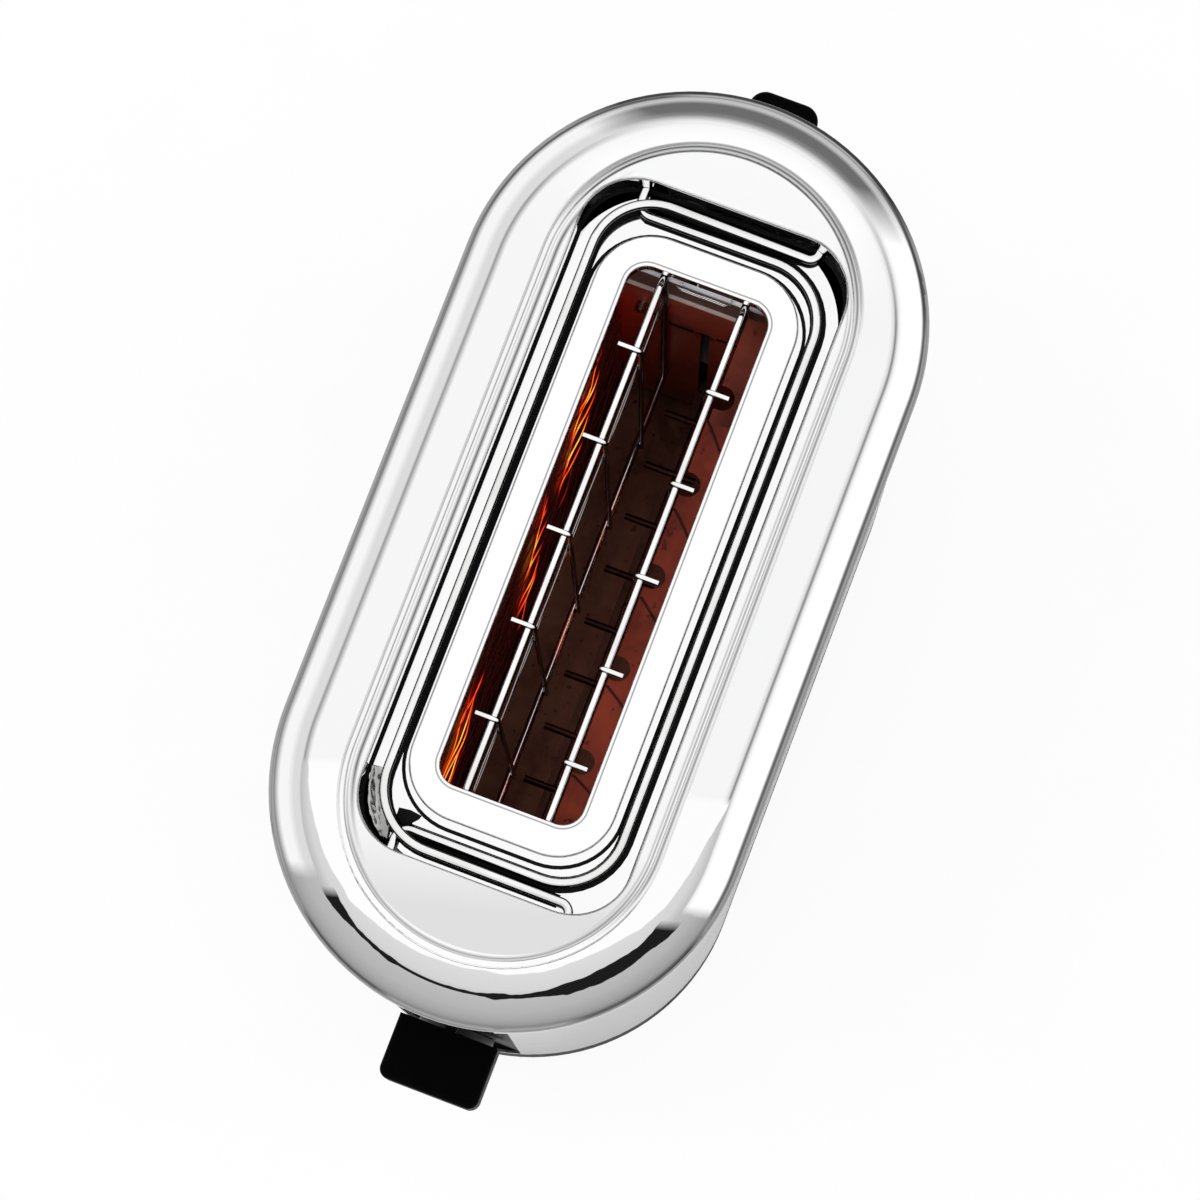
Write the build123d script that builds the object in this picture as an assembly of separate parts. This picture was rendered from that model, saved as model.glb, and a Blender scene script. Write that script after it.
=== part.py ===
from build123d import *
import math
import os

# Toaster with one long bread slot, a main lever at the front and a folding bun rack worked from the rear.
# Millimetres. +Z is up, +Y runs to the rear, +X to the right. The origin is on the table under the middle.
# It is drawn at rest: main lever down, guards closed, bun rack folded away and rear lever up.

os.makedirs("parts", exist_ok=True)

# Clearances
gap = 0.3
shaft_gap = 0.05
button_gap = 0.25
magnet_gap = 0.8

# How close two places count as the same, and the step for measuring a wire's gap to itself
tolerance = 0.01
gap_step = 1.0

# Overall form
rim_width = 120.0
rim_height = 180.0
lever_overhang = 15.5
sheet = 0.8

# Feet and base band
foot_height = 3.5
foot_radius = 7.0
foot_chamfer = 0.9
foot_stem_radius = 2.5
foot_stem_length = 3.4
foot_side_inset = 20.9
foot_end_reach = 24.2
base_height = 16.5
base_wall = 2.2
base_floor = 2.0
tongue_height = 3.0
tongue_wall = 1.6

# Sleeve
shell_side_inset = 1.1
shell_end_inset = 2.3
shell_tuck = 2.4

# Top cover: rolled lip, crease, sloping ring, bead and well
hem_drop = 3.4
lip_radius = 6.5
lip_center_inset = 5.4
lip_center_drop = 2.4
lip_edge_fillet = 1.0
crease_inset = 8.6
crease_blend = 1.5
ring_rise = 3.4
bead_side_margin = 5.1
bead_end_margin = 16.85
bead_end_inset = 16.0
bead_radius = 1.1
bead_sink = 0.3
well_center = 2.5
well_side_margin = 8.5
well_end_margin = 11.75
well_corner = 15.0
well_depth = 11.7
well_lip = 1.5
well_tray_corner = 25.0
tray_opening_half_width = 21.5
tray_opening_depth = 3.2

# Frame round the bread slot
frame_side_band = 8.0
frame_end_band = 8.5
frame_corner = 15.0
frame_height = 9.0
frame_edge = 1.4
slot_half_width = 18.8
slot_half_length = 69.9
slot_corner = 5.5
slot_lip = 4.0
slot_edge = 0.6
tray_hole_margin_side = 2.7
tray_hole_margin_end = 3.0

# Toasting chamber
chamber_margin = 3.9
chamber_side_margin = 16.0
chamber_low = 16.0
leg_width = 6.5
leg_inset = 0.8
leg_foot = 8.0
rib_radius = 0.8
rib_drops = (13.0, 31.5)
rib_side_margin = 5.2
clip_width = 13.0
clip_height = 4.0
clip_thickness = 1.0
key_rise = 12.0
key_radius = 3.2

# Heater cards and their winding
card_side_margin = 5.7
card_thickness = 0.8
card_low = 36.0
card_top_drop = 8.16
card_tab_height = 6.0
card_end_gap = 5.0
wire_diameter = 0.8
wire_card_gap = 0.3
loop_count = 12
loop_pitch = 8.5
loop_low = 47.0
loop_step_run = 20.0
loop_step_bend = 6.0

# Bread guards
guard_inset = 7.8
guard_travel = 4.0
guard_wire = 2.0
guard_upright = 1.4
guard_pin = 1.8
weld_depth = 0.2
guard_drop = 0.76
guard_bottom = 52.0
guard_pin_drop = 42.2
guard_corner = 4.0
hook_outward = 4.6
hook_bend = 1.6
hook_count = 5
hook_end_space = 43.8
hook_setback_left = 21.5
hook_setback_right = 25.2

# Main lever and carriage
carriage_travel = 55.0
rack_top = 42.0
rack_side_gap = 3.5
rack_bar = 2.0
rack_bar_count = 9
blade_thickness = 2.0
blade_height = 8.0
blade_tail = 1.6
guide_rod_radius = 2.5
guide_rod_offset = 14.0
guide_rod_setback = 14.5
mech_low = 28.0
mech_top_drop = 11.16
mech_half_width = 24.0
mech_plate = 1.0
mech_top_reach = 21.0
mech_low_half_width = 19.0
slider_half_width = 20.0
slider_under = 8.0
slider_over = 14.0
slider_depth = 9.0
slider_tail_half_width = 6.0
slider_tail_depth = 1.2
arm_thickness = 3.0
arm_height = 8.0
lever_dial_gap = 4.0
lever_width = 28.6
lever_height = 16.0
lever_back_gap = 3.0
lever_corner = 3.0
lever_edge = 1.6
arm_in_knob = 9.0
spring_radius = 3.0
spring_wire = 0.8
spring_curls = 16
spring_offset = 21.0
spring_ear_half_width = 4.5
spring_ear_height = 2.0
armature_thickness = 2.0
armature_half_width = 8.0
armature_foot_half_width = 4.0
armature_reach = 14.0
core_radius = 3.5
core_gap = 0.1
coil_radius = 7.2
coil_height = 12.0
coil_end_gap = 2.6

# Front panel and its controls
panel_half_width = 18.0
panel_recess = 0.5
panel_thickness = 2.2
panel_flange = 4.5
panel_flange_thickness = 1.8
panel_foot = 4.0
panel_top_drop = 9.0
dial_rise = 15.0
dial_radius = 11.0
dial_depth = 11.5
dial_edge = 1.2
dial_mark_width = 1.0
dial_mark_depth = 0.6
dial_mark_length = 7.3
dial_shaft_radius = 3.0
dial_shaft_in_knob = 7.0
pot_half_width = 8.0
pot_depth = 6.0
pot_bore_depth = 4.0
button_drop = 23.0
button_pitch = 11.5
button_radius = 4.0
button_edge = 0.8
button_proud = 2.4
button_travel = 1.8
button_flange = 1.2
button_flange_thickness = 1.2
button_stem_radius = 1.6
switch_half_width = 3.0
switch_height = 1.8
board_thickness = 1.6
board_half_width = 21.0
board_half_height = 15.0
post_radius = 2.4
post_length = 6.0
post_margin = 4.0

# Timer board beside the carriage
timer_offset = 27.0
timer_low = 60.0
timer_top_drop = 13.0
timer_depth = 30.0
relay_size = (12.0, 15.0, 18.0)
relay_rise = 15.0

# Folding bun rack
bun_wire = 2.4
bun_pivot_rise = 2.042
left_pivot_inset = 11.3
right_pivot_inset = 12.3
left_rail_gap = 3.7
right_rail_gap = 3.5
left_rail_lift = 3.4
left_arm_inset = 3.15
right_arm_inset = 6.75
bun_corner = 16.0
left_stub_bend = 2.6
right_stub_bend = 3.6
crank_bend = 3.0
crank_length = 26.0
crank_setback = 8.4
crank_pin = 7.0
stub_end = 5.8
bun_angle = 38.0
bun_travel = 22.0
bush_radius = 3.2
bush_length = 3.7
slot_play = 0.5
slot_steps = 10

# Rear lever and its slider
rear_low_gap = 10.0
rear_top_gap = 11.0
rear_half_width = 22.0
rear_rod_margin = 4.5
rear_window_half_width = 6.0
rear_rod_setback = 7.55
rear_rod_offset = 14.0
rear_rod_radius = 2.5
bun_plate_thickness = 1.5
bun_plate_gap = 1.3
bun_block_drop = 17.0
bun_block_height = 20.0
bun_block_half_width = 19.0
bun_block_depth = 10.4
tongue_half_width = 12.0
head_half_width = 29.5
head_drop = 34.0
head_shoulder_drop = 17.0
head_rise = 6.0
head_top_half_width = 13.5
head_corner = 2.0
bun_lever_drop = 10.0
bun_lever_width = 19.0
bun_lever_height = 10.0
bun_lever_back_gap = 2.0
bun_lever_corner = 4.5
bun_lever_edge = 1.6
bun_arm_height = 6.0
trim_half_width = 5.0
trim_flange = 3.6
trim_flange_thickness = 1.6
trim_recess = 0.4
trim_end = 4.0

# Crumb tray
crumb_half_width = 24.0
crumb_height = 7.6
crumb_front_margin = 5.3
crumb_side_gap = 1.3
crumb_top_gap = 1.2
grip_half_width = 13.0
grip_reach = 3.6
grip_height = 3.0
grip_fillet = 1.0

# Mains inlet
gland_side_inset = 14.9
gland_setback = 26.3
gland_radius = 6.0
gland_flange = 1.6
gland_bore = 3.7
gland_length = 5.6
terminal_side_gap = 2.2
terminal_setback = 18.3
terminal_size = (10.0, 12.0, 12.0)
terminal_count = 2

# Fasteners
screw_radius = 1.5
screw_head_radius = 2.7
screw_head = 1.7
screw_length = 4.4
screw_margin = 4.0

# Half sizes in plan, from the bread slot out to the lip
frame_half_width = slot_half_width + frame_side_band
frame_half_length = slot_half_length + frame_end_band
well_half_width = frame_half_width + well_side_margin
well_half_length = frame_half_length + well_end_margin
bead_half_width = well_half_width + bead_side_margin
bead_half_length = well_half_length + bead_end_margin
rim_length = 2 * (bead_half_length + bead_end_inset)
rim_radius = rim_width / 2
rim_straight = rim_length / 2 - rim_radius
crease_r = rim_radius - crease_inset
lip_center_r = rim_radius - lip_center_inset
shell_radius = rim_radius - shell_side_inset
shell_straight = rim_length / 2 - shell_end_inset - shell_radius
shell_inner = shell_radius - sheet
chamber_half_width = slot_half_width + chamber_side_margin
rib_half_width = slot_half_width + rib_side_margin
card_offset = slot_half_width + card_side_margin
guard_offset = slot_half_width - guard_inset
hook_outer = guard_offset + hook_outward
rack_half_width = guard_offset - rack_side_gap
left_pivot_x = well_half_width - left_pivot_inset
right_pivot_x = right_pivot_inset - well_half_width
left_rail_x = -frame_half_width - left_rail_gap
right_rail_x = frame_half_width + right_rail_gap
foot_across = shell_radius - foot_side_inset
foot_along = shell_straight + foot_end_reach
lever_reach = rim_length / 2 + lever_overhang

# Levels, from the table up and from the lip down
base_top = foot_height + base_height
floor_top = foot_height + base_floor
crumb_low = floor_top + gap
crumb_opening_top = crumb_low + crumb_height + crumb_top_gap
hem_bottom = rim_height - hem_drop
shell_bottom = base_top + gap
shell_top = hem_bottom + shell_tuck
lip_center_z = rim_height - lip_center_drop
crease_z = lip_center_z + math.sqrt(lip_radius**2 - (lip_center_r - crease_r) ** 2)
plateau_z = crease_z + ring_rise
well_floor = plateau_z - well_depth
frame_top = well_floor + frame_height
tray_under = well_floor - sheet
card_high = tray_under - card_top_drop
guard_top = well_floor - guard_drop
guard_pin_height = guard_top - guard_pin_drop
mech_high = tray_under - mech_top_drop
timer_high = mech_high - timer_top_drop
panel_low = base_top + panel_foot
panel_high = rim_height - panel_top_drop
dial_z = panel_low + dial_rise
button_z = panel_high - button_drop
board_low = button_z - board_half_height
board_high = button_z + board_half_height
lever_z = dial_z + dial_radius + lever_dial_gap + lever_height / 2
slider_low = lever_z - slider_under
slider_high = lever_z + slider_over
bun_pivot_z = well_floor + bun_pivot_rise
head_low = bun_pivot_z - head_drop
head_shoulder = bun_pivot_z - head_shoulder_drop
head_top = bun_pivot_z + head_rise
bun_lever_z = head_low - bun_lever_drop
bun_block_high = bun_lever_z - bun_block_drop
bun_block_low = bun_block_high - bun_block_height
rear_high = bun_block_high + rear_top_gap
rear_low = bun_block_low - bun_travel - rear_low_gap

# Places along Y
well_front = well_center - well_half_length
well_rear = well_center + well_half_length
chamber_front_y = well_center - slot_half_length - chamber_margin
chamber_rear_y = well_center + slot_half_length + chamber_margin
front_face_y = chamber_front_y - sheet
rear_face_y = chamber_rear_y + sheet
guard_front_end = chamber_front_y + gap + guard_wire / 2
guard_rear_end = chamber_rear_y - rib_radius - gap - guard_wire / 2
hook_pitch = (guard_rear_end - guard_front_end - hook_end_space) / (hook_count - 1)
hook_rear_left = guard_rear_end - hook_setback_left
hook_rear_right = guard_rear_end - hook_setback_right
rod_y = front_face_y - guide_rod_setback
panel_edge_y = shell_straight + math.sqrt(shell_radius**2 - (panel_half_width + gap) ** 2)
panel_front_y = -(panel_edge_y - panel_recess)
panel_back_y = panel_front_y + panel_thickness
flange_back_y = panel_back_y + panel_flange_thickness
slider_front_y = rod_y - slider_depth / 2
slider_rear_y = rod_y + slider_depth / 2
magnet_y = slider_front_y - coil_radius - magnet_gap
mech_low_reach = front_face_y - magnet_y + coil_radius
left_arm_reach = well_half_length - left_arm_inset
right_arm_reach = well_half_length - right_arm_inset
crank_y = well_rear + crank_setback
plate_y = crank_y + bun_wire / 2 + bun_plate_gap
plate_back_y = plate_y + bun_plate_thickness
rear_rod_y = plate_y - rear_rod_setback
rear_reach = rear_rod_y + rear_rod_margin - rear_face_y
crumb_front = chamber_front_y + crumb_front_margin
crumb_rear = shell_straight + math.sqrt((shell_radius - base_wall) ** 2 - crumb_half_width**2) - gap
gland_x = shell_radius - gland_side_inset
gland_y = chamber_rear_y - gland_setback
terminal_x = chamber_half_width + terminal_side_gap
terminal_y = chamber_rear_y - terminal_setback


def obround(radius, straight):
    """Outline with two straight sides along Y and a half circle at each end."""
    return SlotCenterToCenter(2 * straight, 2 * radius, rotation=90)


def prism(outline, low, high):
    """Solid on an outline in plan, between two heights."""
    return extrude(Pos(0, 0, low) * outline, amount=high - low)


def across(outline, front, rear):
    """Solid on an outline drawn in X and Z, between two places along Y."""
    wall = Plane(origin=(0, front, 0), x_dir=(1, 0, 0), z_dir=(0, -1, 0))
    return extrude(wall * outline, amount=front - rear)


def block(x, y, z):
    """Box from three pairs of low and high limits."""
    middle = [(pair[0] + pair[1]) / 2 for pair in (x, y, z)]
    return Pos(*middle) * Box(x[1] - x[0], y[1] - y[0], z[1] - z[0])


def rod(start, end, radius):
    """Round bar between two points."""
    line = Vector(*end) - Vector(*start)
    plane = Plane(origin=start, z_dir=line)
    return plane * Cylinder(radius, line.length, align=(Align.CENTER, Align.CENTER, Align.MIN))


def wire_on(path, diameter):
    """Round wire along a path."""
    section = Plane(origin=path @ 0, z_dir=path % 0) * Circle(diameter / 2)
    return sweep(section, path=path)


def bent_wire(points, bends, diameter):
    """Round wire along straight runs joined by tangent arcs."""
    return wire_on(FilletPolyline(*points, radius=bends), diameter)


def least_gap(path, diameter, bend):
    """Least gap from a wire to itself, measured on points that lie at least half a turn of its bend apart."""
    marks = []
    travel = 0.0
    for edge in path.order_edges():
        count = math.ceil(edge.length / gap_step)
        shares = [step / count for step in range(count)]
        for share, place in zip(shares, edge.positions(shares)):
            marks.append((travel + edge.length * share, tuple(place)))
        travel += edge.length
    half_turn = math.pi * bend - tolerance
    nearest = min(
        math.dist(first[1], second[1])
        for index, first in enumerate(marks)
        for second in marks[index + 1 :]
        if second[0] - first[0] >= half_turn
    )
    return nearest - diameter


def around(profile, straight):
    """Solid from a half profile in X and Z, turned about both ends and run along both sides."""
    rear = revolve(Pos(0, straight, 0) * profile, Axis((0, straight, 0), (0, 0, 1)), 180)
    front = revolve(Pos(0, -straight, 0) * profile, Axis((0, -straight, 0), (0, 0, 1)), -180)
    side = extrude(Pos(0, straight, 0) * profile, amount=2 * straight, dir=(0, -1, 0))
    return rear + front + side + mirror(side, Plane.YZ)


def mirrored(part):
    return mirror(part, Plane.YZ)


def write(name, *solids):
    """One file for each named piece. Several loose solids make one group."""
    shape = solids[0] if len(solids) == 1 else Compound(children=list(solids))
    shape.label = name
    export_step(shape, f"parts/{name}.step")


def lip_face(inset, bottom):
    """Half section under the lip's surface, from the middle out, drawn in by the sheet for the hollow."""
    radius = lip_radius - inset
    edge = rim_radius - inset
    crease = lip_center_z + math.sqrt(radius**2 - (lip_center_r - crease_r) ** 2)
    edge_z = lip_center_z + math.sqrt(radius**2 - (edge - lip_center_r) ** 2)
    outline = Polyline((0, crease), (0, bottom), (edge, bottom), (edge, edge_z))
    start = math.atan2(edge_z - lip_center_z, edge - lip_center_r)
    end = math.atan2(crease - lip_center_z, crease_r - lip_center_r)
    middle = (start + end) / 2
    top = (lip_center_r + radius * math.cos(middle), lip_center_z + radius * math.sin(middle))
    arc = ThreePointArc((edge, edge_z), top, (crease_r, crease))
    close = Line((crease_r, crease), (0, crease))
    face = make_face(outline + arc + close)
    at_edge = [v for v in face.vertices() if abs(v.X - edge) < tolerance]
    corner = [v for v in at_edge if abs(v.Y - edge_z) < tolerance]
    return Plane.XZ * fillet(corner, lip_edge_fillet - inset)


def ring_solid(drop):
    """Sloping ring between the crease and the bead, with everything under it."""
    inner_r = bead_half_width + bead_radius - bead_sink
    low = Pos(0, 0, crease_z - drop) * obround(crease_r, rim_straight)
    high = Pos(0, 0, plateau_z - drop) * obround(inner_r, bead_half_length - bead_half_width)
    below = prism(obround(crease_r, rim_straight), lip_center_z, crease_z - drop)
    return loft([low, high], ruled=True) + below


def rounded(half_width, half_length, corner):
    """Outline in plan with round corners, about the middle of the well."""
    return Pos(0, well_center) * RectangleRounded(2 * half_width, 2 * half_length, corner)


def well_outline(margin=0.0):
    return rounded(well_half_width + margin, well_half_length + margin, well_corner + margin)


def on_well(edge):
    """True for an edge that lies on the well's wall."""
    point = edge @ 0.5
    x = abs(point.X)
    y = abs(point.Y - well_center)
    core_x = well_half_width - well_corner
    core_y = well_half_length - well_corner
    if x > core_x and y > core_y:
        return abs(math.hypot(x - core_x, y - core_y) - well_corner) < tolerance
    return abs(x - well_half_width) < tolerance or abs(y - well_half_length) < tolerance


def make_top_cover():
    skin = around(lip_face(0, hem_bottom), rim_straight) + ring_solid(0)
    crease = [e for e in skin.edges() if abs(e.center().Z - crease_z) < tolerance]
    skin = fillet(crease, crease_blend)
    bead = Plane.XZ * Pos(bead_half_width, plateau_z - bead_sink) * Circle(bead_radius)
    skin += around(bead, bead_half_length - bead_half_width)
    cover = skin - around(lip_face(sheet, hem_bottom - sheet), rim_straight) - ring_solid(sheet)
    cover += prism(well_outline(sheet), well_floor, plateau_z)
    cover -= prism(well_outline(), well_floor - sheet, plateau_z + 2 * bead_radius)
    rolled = [e for e in cover.edges() if abs(e.center().Z - plateau_z) < tolerance and on_well(e)]
    cover = fillet(rolled, well_lip)
    for x in (left_pivot_x, right_pivot_x):
        for y in (well_front, well_rear):
            hole = rod((x, y - 2 * sheet, bun_pivot_z), (x, y + 2 * sheet, bun_pivot_z), bun_wire / 2 + gap)
            cover -= hole
    return cover


def slot_outline(margin=0.0):
    return rounded(slot_half_width + margin, slot_half_length + margin, slot_corner + margin)


def frame_outline(inset=0.0):
    return rounded(frame_half_width - inset, frame_half_length - inset, frame_corner - inset)


def on_slot(edge):
    """True for an edge of the bread slot."""
    point = edge @ 0.5
    beside = abs(point.X) < slot_half_width + tolerance
    return beside and abs(point.Y - well_center) < slot_half_length + tolerance


def make_slot_frame():
    body = prism(frame_outline(), well_floor, frame_top)
    body = fillet(body.edges().group_by(Axis.Z)[-1], frame_edge)
    inside = prism(frame_outline(sheet), well_floor, frame_top - sheet)
    inside = fillet(inside.edges().group_by(Axis.Z)[-1], frame_edge - sheet)
    inside -= prism(slot_outline(sheet), frame_top - slot_lip, frame_top - sheet)
    frame = body - inside - prism(slot_outline(), well_floor, frame_top)
    rim = [e for e in frame.edges().group_by(Axis.Z)[-1] if on_slot(e)]
    return fillet(rim, slot_edge)


def make_well_tray():
    """Floor of the well. Three of its corners are cut back from the well's wall, the near right one is not,
    and an opening lies along the rear wall."""
    outline = rounded(well_half_width + sheet, well_half_length + sheet, well_tray_corner)
    near_right = Pos(well_half_width, well_front) * Rectangle(2 * well_tray_corner, 2 * well_tray_corner)
    outline += well_outline(sheet) & near_right
    opening_y = well_rear - tray_opening_depth
    opening = Rectangle(2 * tray_opening_half_width, 2 * (tray_opening_depth + sheet))
    outline -= Pos(0, opening_y + tray_opening_depth + sheet) * opening
    hole_half_width = slot_half_width + tray_hole_margin_side
    hole = rounded(hole_half_width, slot_half_length + tray_hole_margin_end, slot_corner)
    return prism(outline - hole, tray_under, well_floor)


def make_outer_shell():
    ring = obround(shell_radius, shell_straight) - obround(shell_inner, shell_straight)
    shell = prism(ring, shell_bottom, shell_top)
    opening = panel_half_width + gap
    shell -= block((-opening, opening), (-rim_length, panel_back_y), (panel_low - gap, panel_high + gap))
    side = trim_half_width + gap
    low, high = trim_limits()
    shell -= block((-side, side), (plate_back_y, rim_length), (low - gap, high + gap))
    return shell


def trim_limits():
    low = bun_lever_z - bun_arm_height / 2 - bun_travel - trim_end
    return low, bun_lever_z + bun_arm_height / 2 + trim_end


def foot_places():
    return [(x, y) for x in (-foot_across, foot_across) for y in (-foot_along, foot_along)]


def leg_places():
    middle = chamber_half_width - leg_inset - leg_width / 2
    return (-middle, middle)


def leg_screw_places():
    ends = (chamber_front_y + leg_foot / 2, chamber_rear_y - leg_foot / 2)
    return [(x, y) for x in leg_places() for y in ends]


def make_base_pan():
    pan = prism(obround(shell_radius, shell_straight), foot_height, base_top)
    pan -= prism(obround(shell_radius - base_wall, shell_straight), floor_top, base_top)
    tongue_outer = shell_inner - gap
    ring = obround(tongue_outer, shell_straight) - obround(tongue_outer - tongue_wall, shell_straight)
    pan += prism(ring, base_top - tongue_height, base_top + tongue_height)
    half = crumb_half_width + crumb_side_gap
    pan -= block((-half, half), (shell_straight, rim_length), (floor_top, crumb_opening_top))
    for x, y in foot_places():
        pan -= Pos(x, y, foot_height) * Cylinder(foot_stem_radius + shaft_gap, 3 * base_floor)
    for x, y in leg_screw_places():
        pan -= Pos(x, y, foot_height) * Cylinder(screw_radius + shaft_gap, 3 * base_floor)
    pan -= Pos(gland_x, gland_y, foot_height) * Cylinder(gland_neck() + shaft_gap, 3 * base_floor)
    return pan


def gland_neck():
    return gland_radius - gland_flange


def make_cord_gland():
    flange_low = foot_height - gland_flange
    gland = rod((gland_x, gland_y, flange_low), (gland_x, gland_y, foot_height), gland_radius)
    gland += rod((gland_x, gland_y, foot_height), (gland_x, gland_y, flange_low + gland_length), gland_neck())
    return gland - rod((gland_x, gland_y, 0), (gland_x, gland_y, base_top), gland_bore)


def make_feet():
    feet = []
    for x, y in foot_places():
        foot = rod((x, y, 0), (x, y, foot_height), foot_radius)
        foot = chamfer(foot.edges().group_by(Axis.Z)[0], foot_chamfer)
        stem = rod((x, y, foot_height), (x, y, foot_height + foot_stem_length), foot_stem_radius)
        feet.append(foot + stem)
    return feet


def make_base_screws():
    screws = []
    for x, y in leg_screw_places():
        head = rod((x, y, foot_height - screw_head), (x, y, foot_height), screw_head_radius)
        screws.append(head + rod((x, y, foot_height), (x, y, foot_height + screw_length), screw_radius))
    return screws


def guard_slot_outline(height):
    """Pair of level slots that a guard's pins slide in, one for each guard."""
    radius = guard_wire / 2 + gap
    slot = Pos(guard_offset + guard_travel / 2, height) * SlotCenterToCenter(guard_travel, 2 * radius)
    return slot + Pos(-guard_offset - guard_travel / 2, height) * SlotCenterToCenter(guard_travel, 2 * radius)


def blade_slot_outline():
    half = blade_thickness / 2 + gap
    low = rack_top - blade_height - 2 * gap
    high = rack_top + carriage_travel + 2 * gap
    return Pos(0, (low + high) / 2) * Rectangle(2 * half, high - low)


def chamber_outline():
    middle = (chamber_low + tray_under) / 2
    plate = Pos(0, middle) * Rectangle(2 * chamber_half_width, tray_under - chamber_low)
    leg_middle = (floor_top + chamber_low) / 2
    for x in leg_places():
        plate += Pos(x, leg_middle) * Rectangle(leg_width, chamber_low - floor_top)
    plate -= guard_slot_outline(guard_bottom) + guard_slot_outline(guard_pin_height)
    return plate - blade_slot_outline()


def screw_hole(x, y, z):
    """Hole along Y for a frame screw, through the two sheets that meet at Y."""
    reach = sheet + mech_plate
    return rod((x, y - reach, z), (x, y + reach, z), screw_radius + shaft_gap)


def make_chamber_wall(inner_y, inward, screw_places):
    """End plate of the chamber. inward is +1 where the chamber lies towards +Y."""
    outer_y = inner_y - inward * sheet
    wall = across(chamber_outline(), min(inner_y, outer_y), max(inner_y, outer_y))
    foot_end = inner_y + inward * leg_foot
    foot_y = (min(inner_y, foot_end), max(inner_y, foot_end))
    for x in leg_places():
        foot_x = (x - leg_width / 2, x + leg_width / 2)
        wall += block(foot_x, foot_y, (floor_top, floor_top + sheet))
    for x, y in leg_screw_places():
        wall -= rod((x, y, floor_top - sheet), (x, y, floor_top + 2 * sheet), screw_radius + shaft_gap)
    for x, z in screw_places:
        wall -= screw_hole(x, outer_y, z)
    return wall


def make_chamber_front():
    return make_chamber_wall(chamber_front_y, 1, front_screw_places())


def make_chamber_rear():
    wall = make_chamber_wall(chamber_rear_y, -1, rear_screw_places())
    half = rib_half_width
    for drop in rib_drops:
        z = tray_under - drop
        rib = rod((-half, chamber_rear_y, z), (half, chamber_rear_y, z), rib_radius)
        wall += rib & block((-half, half), (well_center, chamber_rear_y), (z - rib_radius, z + rib_radius))
    clip_z = tray_under - rib_drops[0]
    clip_y = (chamber_rear_y - rib_radius - clip_thickness, chamber_rear_y)
    clip_levels = (clip_z - clip_height / 2, clip_z + clip_height / 2)
    wall += block((-clip_width / 2, clip_width / 2), clip_y, clip_levels)
    keyhole_z = rack_top + carriage_travel + key_rise
    slot = blade_thickness / 2 + gap
    through = (chamber_rear_y, rear_face_y)
    wall -= block((-slot, slot), through, (rack_top, keyhole_z))
    return wall - rod((0, chamber_rear_y, keyhole_z), (0, rear_face_y, keyhole_z), key_radius)


def corner_places(half_width, low, high):
    """Place of a screw in each corner of an upright plate, as X and Z."""
    x = half_width - screw_margin
    return [(side * x, z) for side in (-1, 1) for z in (low + screw_margin, high - screw_margin)]


def front_screw_places():
    return corner_places(mech_half_width, mech_low, mech_high)


def rear_screw_places():
    return corner_places(rear_half_width, rear_low, rear_high)


def make_reflector():
    x = (chamber_half_width - sheet, chamber_half_width)
    return block(x, (chamber_front_y, chamber_rear_y), (chamber_low, tray_under))


def make_heater_card():
    x = (card_offset - card_thickness / 2, card_offset + card_thickness / 2)
    card = block(x, (chamber_front_y + card_end_gap, chamber_rear_y - card_end_gap), (card_low, card_high))
    for low in (card_low, card_high - card_tab_height):
        card += block(x, (chamber_front_y, chamber_rear_y), (low, low + card_tab_height))
    return card


def winding_bend():
    return card_thickness / 2 + wire_card_gap + wire_diameter / 2


def winding_path():
    """Centre line of the heating wire: level runs on the inner face, half turns round the card's ends and a
    stepped run behind it, all as lines and tangent arcs."""
    bend = winding_bend()
    inner = card_offset - bend
    outer = card_offset + bend
    front = chamber_front_y + card_end_gap
    rear = chamber_rear_y - card_end_gap
    middle = (front + rear) / 2
    edges = []
    for loop in range(loop_count):
        z = loop_low + loop * loop_pitch
        up = z + loop_pitch
        edges.append(Line((inner, front, z), (inner, rear, z)))
        if loop == loop_count - 1:
            break
        edges.append(ThreePointArc((inner, rear, z), (card_offset, rear + bend, z), (outer, rear, z)))
        behind = [
            (outer, rear, z),
            (outer, middle + loop_step_run, z),
            (outer, middle - loop_step_run, up),
            (outer, front, up),
        ]
        edges.extend(FilletPolyline(*behind, radius=loop_step_bend).edges())
        edges.append(ThreePointArc((outer, front, up), (card_offset, front - bend, up), (inner, front, up)))
    return Wire(edges)


def make_guard(side, hook_rear):
    """Wire guard, side 1 on the right and -1 on the left: a bent wire for the ends and top, a bottom rail
    that runs on as pins, a second, thinner pair of pins, and uprights that bend outward over the top rail as
    hooks. Crossing wires are welded."""
    x = side * guard_offset
    arch = [
        (x, guard_rear_end, guard_bottom),
        (x, guard_rear_end, guard_top),
        (x, guard_front_end, guard_top),
        (x, guard_front_end, guard_bottom),
    ]
    radius = guard_wire / 2
    guard = bent_wire(arch, guard_corner, guard_wire)
    guard += rod((x, front_face_y, guard_bottom), (x, rear_face_y, guard_bottom), radius)
    guard += rod((x, front_face_y, guard_pin_height), (x, guard_front_end, guard_pin_height), guard_pin / 2)
    guard += rod((x, guard_rear_end, guard_pin_height), (x, rear_face_y, guard_pin_height), guard_pin / 2)
    beside = radius + guard_upright / 2 - weld_depth
    upright_x = x - side * beside
    for index in range(hook_count):
        y = hook_rear - index * hook_pitch
        upright = [
            (side * hook_outer, y, guard_top + beside),
            (upright_x, y, guard_top + beside),
            (upright_x, y, guard_bottom),
        ]
        guard += bent_wire(upright, hook_bend, guard_upright)
    return guard


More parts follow.
